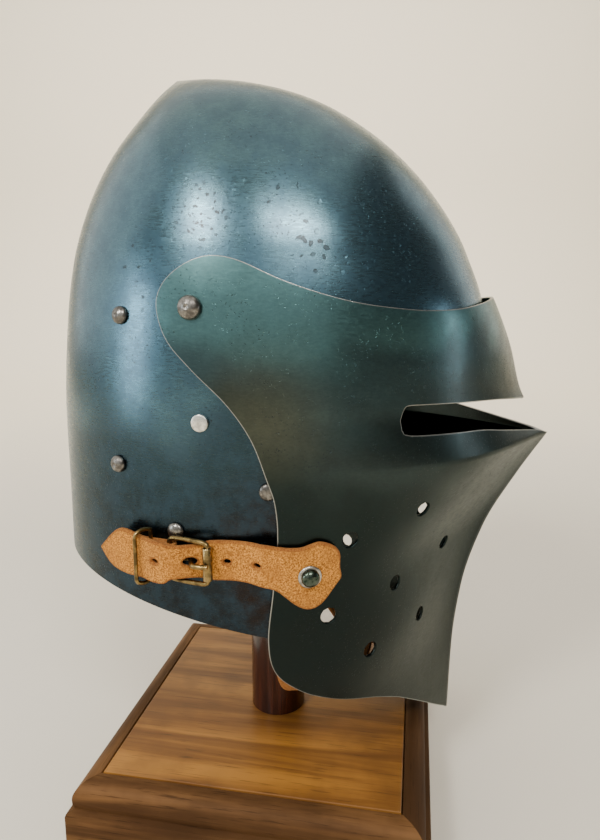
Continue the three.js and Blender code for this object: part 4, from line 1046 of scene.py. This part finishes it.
# the tongue turns round the rear bar, dips under the strap, and comes up through it to the roller
tongue_spots = [
    # forward, off the metal
    (HEEL_BAR - 1.6, BAR_LIFT + 1.6), (HEEL_BAR - 2.6, BAR_LIFT), (HEEL_BAR - 1.4, BAR_LIFT - 2.0),
    (HEEL_BAR + 1.6, BAR_LIFT - 1.7), (-42, 3.1), (-38.6, 2.9), (-36.7, 4.2), (-35.8, 7.2),
    (-34.2, tongue_top - 1.1), (-31.4, tongue_top), (ROLLER_BAR + 1, tongue_top)]
tongue = wire([beside(*spot) for spot in tongue_spots], TONGUE, (0, 0, 1), False)
fit_pair("buckle_tongue_wire", tongue, brass, "buckle_tongue")
keeper_half = STRAP_WIDTH / 2 + KEEPER_SIDE_PLAY
keeper_front = float(strap_lift(KEEPER_PLACE)) + LEATHER + KEEPER_PLAY + KEEPER_WIRE / 2
keeper_middle = (KEEPER_BACK + keeper_front) / 2
keeper_side = [(keeper_front, 4), (keeper_front, keeper_half - 3.6),
               (keeper_front - 0.35, keeper_half - 2.1), (keeper_front - 1.2, keeper_half - 1),
               (keeper_middle, keeper_half),
               (KEEPER_BACK + 0.7, keeper_half - 0.7), (KEEPER_BACK, keeper_half - 2), (KEEPER_BACK, 4)]
keeper_spots = keeper_side + [(away, -out) for away, out in reversed(keeper_side)]
keeper_corners = [beside(KEEPER_PLACE + KEEPER_LEAN * (keeper_front - away), away,
                         STRAP_LEVEL - KEEPER_DROP + out) for away, out in keeper_spots]
keeper_plane = np.cross(keeper_corners[0] - keeper_corners[len(keeper_side) - 1], (0, 0, 1))
fit_pair("strap_keeper_wire", wire(keeper_corners, KEEPER_WIRE, keeper_plane, True), brass, "keeper")

# The leather under the buckles
# A short strip folded round the buckle's rear bar, with the tongue through its fold, and riveted
# to the skull piece behind it.
CHAPE_REAR = -69
CHAPE_THICK = 1.9
CHAPE_HALF = STRAP_WIDTH / 2 - 2.4
CHAPE_INNER, CHAPE_OUTER = 0.6, 4.6
CHAPE_ROUND, CHAPE_STEP = 0.5, 0.7
FOLD_PLAY, FOLD_START, FOLD_END = 0.45, 0.35, pi - 0.3
inner_ply = [beside(f, CHAPE_INNER + CHAPE_THICK / 2) for f in np.linspace(CHAPE_REAR, HEEL_BAR, 12)]
outer_ply = [beside(f, CHAPE_OUTER - CHAPE_THICK / 2)
             for f in np.linspace(CHAPE_REAR + 2, HEEL_BAR - 3, 10)]
fold_centre = beside(HEEL_BAR, BAR_LIFT)
fold_radius = WIRE / 2 + FOLD_PLAY + CHAPE_THICK / 2
along_strap = beside(HEEL_BAR + 1, BAR_LIFT) - beside(HEEL_BAR - 1, BAR_LIFT)
along_strap /= np.linalg.norm(along_strap)
off_metal = strap_seat(HEEL_BAR)[1]
fold = [fold_centre + (along_strap * sin(turn) - off_metal * cos(turn)) * fold_radius / 1000
        for turn in np.linspace(FOLD_START, FOLD_END, 12)]
chape_line = np.array([*inner_ply[:-1], *fold, *outer_ply[::-1]])


def run_of(line):
    """The direction in which a line runs at each of its points."""
    tangent = np.gradient(line, axis=0)
    return tangent / np.linalg.norm(tangent, axis=1, keepdims=True)


def strip(line, out, across, half_width, thick, edge_round, cells=12):
    """A strip of leather along a line, with rounded long edges. out is the way its face looks at
    each point of the line, and across the way its width runs."""
    straight = half_width - edge_round
    half_thick = thick / 2
    section = []
    for sign_out, sign_across, start in ((1, 1, pi / 2), (1, -1, 0), (-1, -1, -pi / 2), (-1, 1, -pi)):
        for turn in start - np.linspace(0, pi / 2, 4):
            section.append((sign_out * (half_thick - edge_round) + edge_round * cos(turn),
                            sign_across * straight + edge_round * sin(turn)))
        if sign_out == sign_across:
            section += [(sign_out * half_thick, sign_out * straight * (1 - 2 * k / cells))
                        for k in range(1, cells)]
    section = np.array(section) / 1000
    points = line[:, None] + out[:, None] * section[None, :, :1] + across[:, None] * section[None, :, 1:]
    sides, total, faces = len(section), len(line), []
    for i in range(total - 1):
        here, after = i * sides, (i + 1) * sides
        for k in range(sides):
            j = (k + 1) % sides
            faces.append([here + k, here + j, after + j, after + k])
    faces += [list(reversed(range(sides))), [(total - 1) * sides + k for k in range(sides)]]
    return {"points": points.reshape(-1, 3), "faces": faces, "crease": 60}


chape_line = evenly(chape_line, int(run_along(chape_line)[-1] * 1000 / CHAPE_STEP))
chape_out = np.cross(run_of(chape_line), (0, 0, 1.0))
chape_out /= np.linalg.norm(chape_out, axis=1, keepdims=True)
chape_up = np.full(chape_line.shape, (0, 0, 1.0))
chape = strip(chape_line, chape_out, chape_up, CHAPE_HALF, CHAPE_THICK, CHAPE_ROUND)
fit_pair("buckle_leather_fold", chape, suede, "buckle_leather")

# The chin strap
# A loop of the same leather that hangs inside from the rivets over the cheeks, one at each
# end, and goes under the chin.
CHIN_ROUTE = [
    # side, forward, level
    (88.8, -0.7, -77), (88.5, -0.6, -88), (87.9, 0.4, -100), (86.5, 3, -130), (85.4, 7, -158),
    (84.2, 11, -180), (80, 15.5, -195), (66, 25, -203), (36, 42, -207.5), (0, 50, -209)]
CHIN_WIDTH, CHIN_THICK, CHIN_ROUND = 20.0, 2.4, 0.7
half_route = [in_frame(forward, side, level) for side, forward, level in CHIN_ROUTE]
route = smooth_line([*half_route, *[spot * (-1, 1, 1) for spot in half_route[-2::-1]]], 240)
chin_run = run_of(route)
# its width runs forward, square to its way
chin_across = np.array([0, -1.0, 0]) + chin_run * chin_run[:, 1:2]
chin_across /= np.linalg.norm(chin_across, axis=1, keepdims=True)
chin_out = np.cross(chin_run, chin_across)
chin_shape = strip(route, chin_out, chin_across, CHIN_WIDTH / 2, CHIN_THICK, CHIN_ROUND)
chin_strap = add_object("chin_strap_loop", chin_shape, suede)
fit(chin_strap, "chin_strap")

# The post
# A turned post of dark polished wood with a rounded top that ends just under the crown. It is
# fixed upright on the block.
POST_RADIUS = 33.9 / 2
POST_TOP = BROW * 1000 + 107.9
POST_DOME = 9
BLOCK_HEIGHT = 38.0
POST_FOOT = BLOCK_HEIGHT + STANDOFF
POST_SIDES = 96
post_profile = [(POST_RADIUS * sin(t * pi / 2), POST_TOP - POST_DOME * (1 - cos(t * pi / 2)))
                for t in np.linspace(0, 1, 16)]
post_profile += [(POST_RADIUS, POST_FOOT), (0, POST_FOOT)]
dark_wood = plain_finish("dark_wood", (0.10, 0.030, 0.014), 0.22)
timber = dark_wood.node_tree
post_grain = cloud(timber, 3, detail=6, stretch=(1, 1, 0.05), roughness=0.6)
post_colour = blend(timber, between(timber, post_grain, 0.35, 0.65), (0.014, 0.003, 0.0018),
                    (0.052, 0.012, 0.005))
dress(dark_wood, Base_Color=post_colour, Normal=raised(timber, post_grain, 0.00006, 0.5),
      Coat_Weight=0.25, Coat_Roughness=0.12)
post = add_object("post", turned(post_profile, (np.zeros(3), (0, 0, 1)), sides=POST_SIDES), dark_wood)
fit(post, "stand_post")

# The block
# A walnut board framed by four lengths of walnut moulding, mitred at the corners and glued to
# its edges. The whole block is turned a little under the helmet.
BLOCK_SIDE = 164.0
BLOCK_TURN = radians(-10.3)
MITRE_GAP = 0.1
BOARD_GAP = 0.15
BANDS_PER_METRE, PORES_PER_METRE = 60.0, 900.0
# out from the board's edge and down from its top, in mm
MOULDING = [(0.9, 0.2), (5, 0.7), (8.5, 2.3), (11, 4.8), (12.4, 8), (12.4, 12.6), (11.8, 13.8), (11.8, 15.2),
            (15, 16.4), (15.6, 18), (15.6, 36.5), (14.4, 38)]
turn_block = Matrix.Rotation(BLOCK_TURN, 4, "Z")


def walnut(name, grain_turn, dark, light, roughness, varnish):
    """Varnished walnut whose grain runs level in the given direction."""
    material = plain_finish(name, light, roughness)
    tree = material.node_tree
    place = add_node(tree, "TexCoord").outputs["Object"]
    lengthwise = add_node(tree, "Mapping", Vector=place, Rotation=(0, 0, -grain_turn)).outputs[0]
    squeezed = add_node(tree, "Mapping", Vector=lengthwise, Scale=(0.07, 1, 1)).outputs[0]
    bands = add_node(tree, "TexNoise", Vector=squeezed, Scale=BANDS_PER_METRE, Detail=5.0,
                     Roughness=0.55, Distortion=0.6).outputs["Fac"]
    drawn_out = add_node(tree, "Mapping", Vector=lengthwise, Scale=(0.045, 1, 1)).outputs[0]
    pores = add_node(tree, "TexNoise", Vector=drawn_out, Scale=PORES_PER_METRE, Detail=4.0,
                     Roughness=0.6).outputs["Fac"]
    blotches = between(tree, cloud(tree, 55, detail=4), 0.40, 0.70, 0.0, 0.6)
    colour = blend(tree, between(tree, bands, 0.36, 0.64), dark, light)
    colour = blend(tree, blotches, colour, tuple(0.62 * c for c in dark))
    colour = blend(tree, between(tree, pores, 0.56, 0.70, 0.0, 0.65), colour, tuple(0.35 * c for c in dark))
    shine = between(tree, bands, 0.3, 0.7, roughness + 0.06, roughness - 0.04)
    surface = raised(tree, cloud(tree, 12, detail=2), 0.0002, 0.25, raised(tree, pores, 0.00008, 0.5))
    dress(material, Base_Color=colour, Roughness=shine, Normal=surface,
          Specular_IOR_Level=0.06 + 1.6 * varnish, Coat_Weight=varnish, Coat_Roughness=0.3)
    return material


board_wood = walnut("walnut_board", BLOCK_TURN + pi / 2, dark=(0.150, 0.056, 0.010),
                    light=(0.385, 0.165, 0.028), roughness=0.45, varnish=0.12)
moulding_woods = [walnut(f"walnut_moulding_{k}", BLOCK_TURN + k * pi / 2, dark=(0.060, 0.027, 0.010),
                         light=(0.170, 0.080, 0.028), roughness=0.55, varnish=0.0) for k in range(2)]


def block_piece(name, points, faces, wood):
    """A piece of the block, given square to it in metres and turned with it."""
    turned_points = [tuple(turn_block @ Vector(p)) for p in points]
    piece = add_object(name, {"points": turned_points, "faces": faces, "crease": 30}, wood)
    fit(piece, "stand_block")


board_half = BLOCK_SIDE / 2 - BOARD_GAP
# the board's top edge is eased
board_rings = [(board_half, 0), (board_half, BLOCK_HEIGHT - 0.9), (board_half - 0.15, BLOCK_HEIGHT - 0.3),
               (board_half - 0.6, BLOCK_HEIGHT)]
board_points = [(sx * out / 1000, sy * out / 1000, height / 1000) for out, height in board_rings
                for sx, sy in ((1, 1), (-1, 1), (-1, -1), (1, -1))]
board_faces = [[ring + k, ring + (k + 1) % 4, ring + 4 + (k + 1) % 4, ring + 4 + k]
               for ring in range(0, len(board_points) - 4, 4) for k in range(4)]
board_faces += [[3, 2, 1, 0], [len(board_points) - 4 + k for k in range(4)]]
block_piece("stand_board", board_points, board_faces, board_wood)

# each length's section runs up its back, over its rounded top and down its steps
moulding_line = [(0.35, BLOCK_HEIGHT), (0.35, 1.4), (0.5, 0.6), *smooth_line(MOULDING[:6], 20),
                 *MOULDING[6:]]
ends = len(moulding_line)
moulding_faces = [[2 * i, 2 * i + 1, 2 * j + 1, 2 * j] for i, j in zip(range(ends), [*range(1, ends), 0])]
moulding_faces += [[2 * i for i in range(ends)], [2 * i + 1 for i in reversed(range(ends))]]
for quarter, side_name in enumerate(("front", "right", "rear", "left")):
    spin = Matrix.Rotation(quarter * pi / 2, 4, "Z")
    mitred = [(end * (BLOCK_SIDE / 2 + out - MITRE_GAP), -BLOCK_SIDE / 2 - out, BLOCK_HEIGHT - down)
              for out, down in moulding_line for end in (-1, 1)]
    block_piece("stand_moulding_" + side_name, [spin @ (Vector(spot) / 1000) for spot in mitred],
                moulding_faces, moulding_woods[quarter % 2])
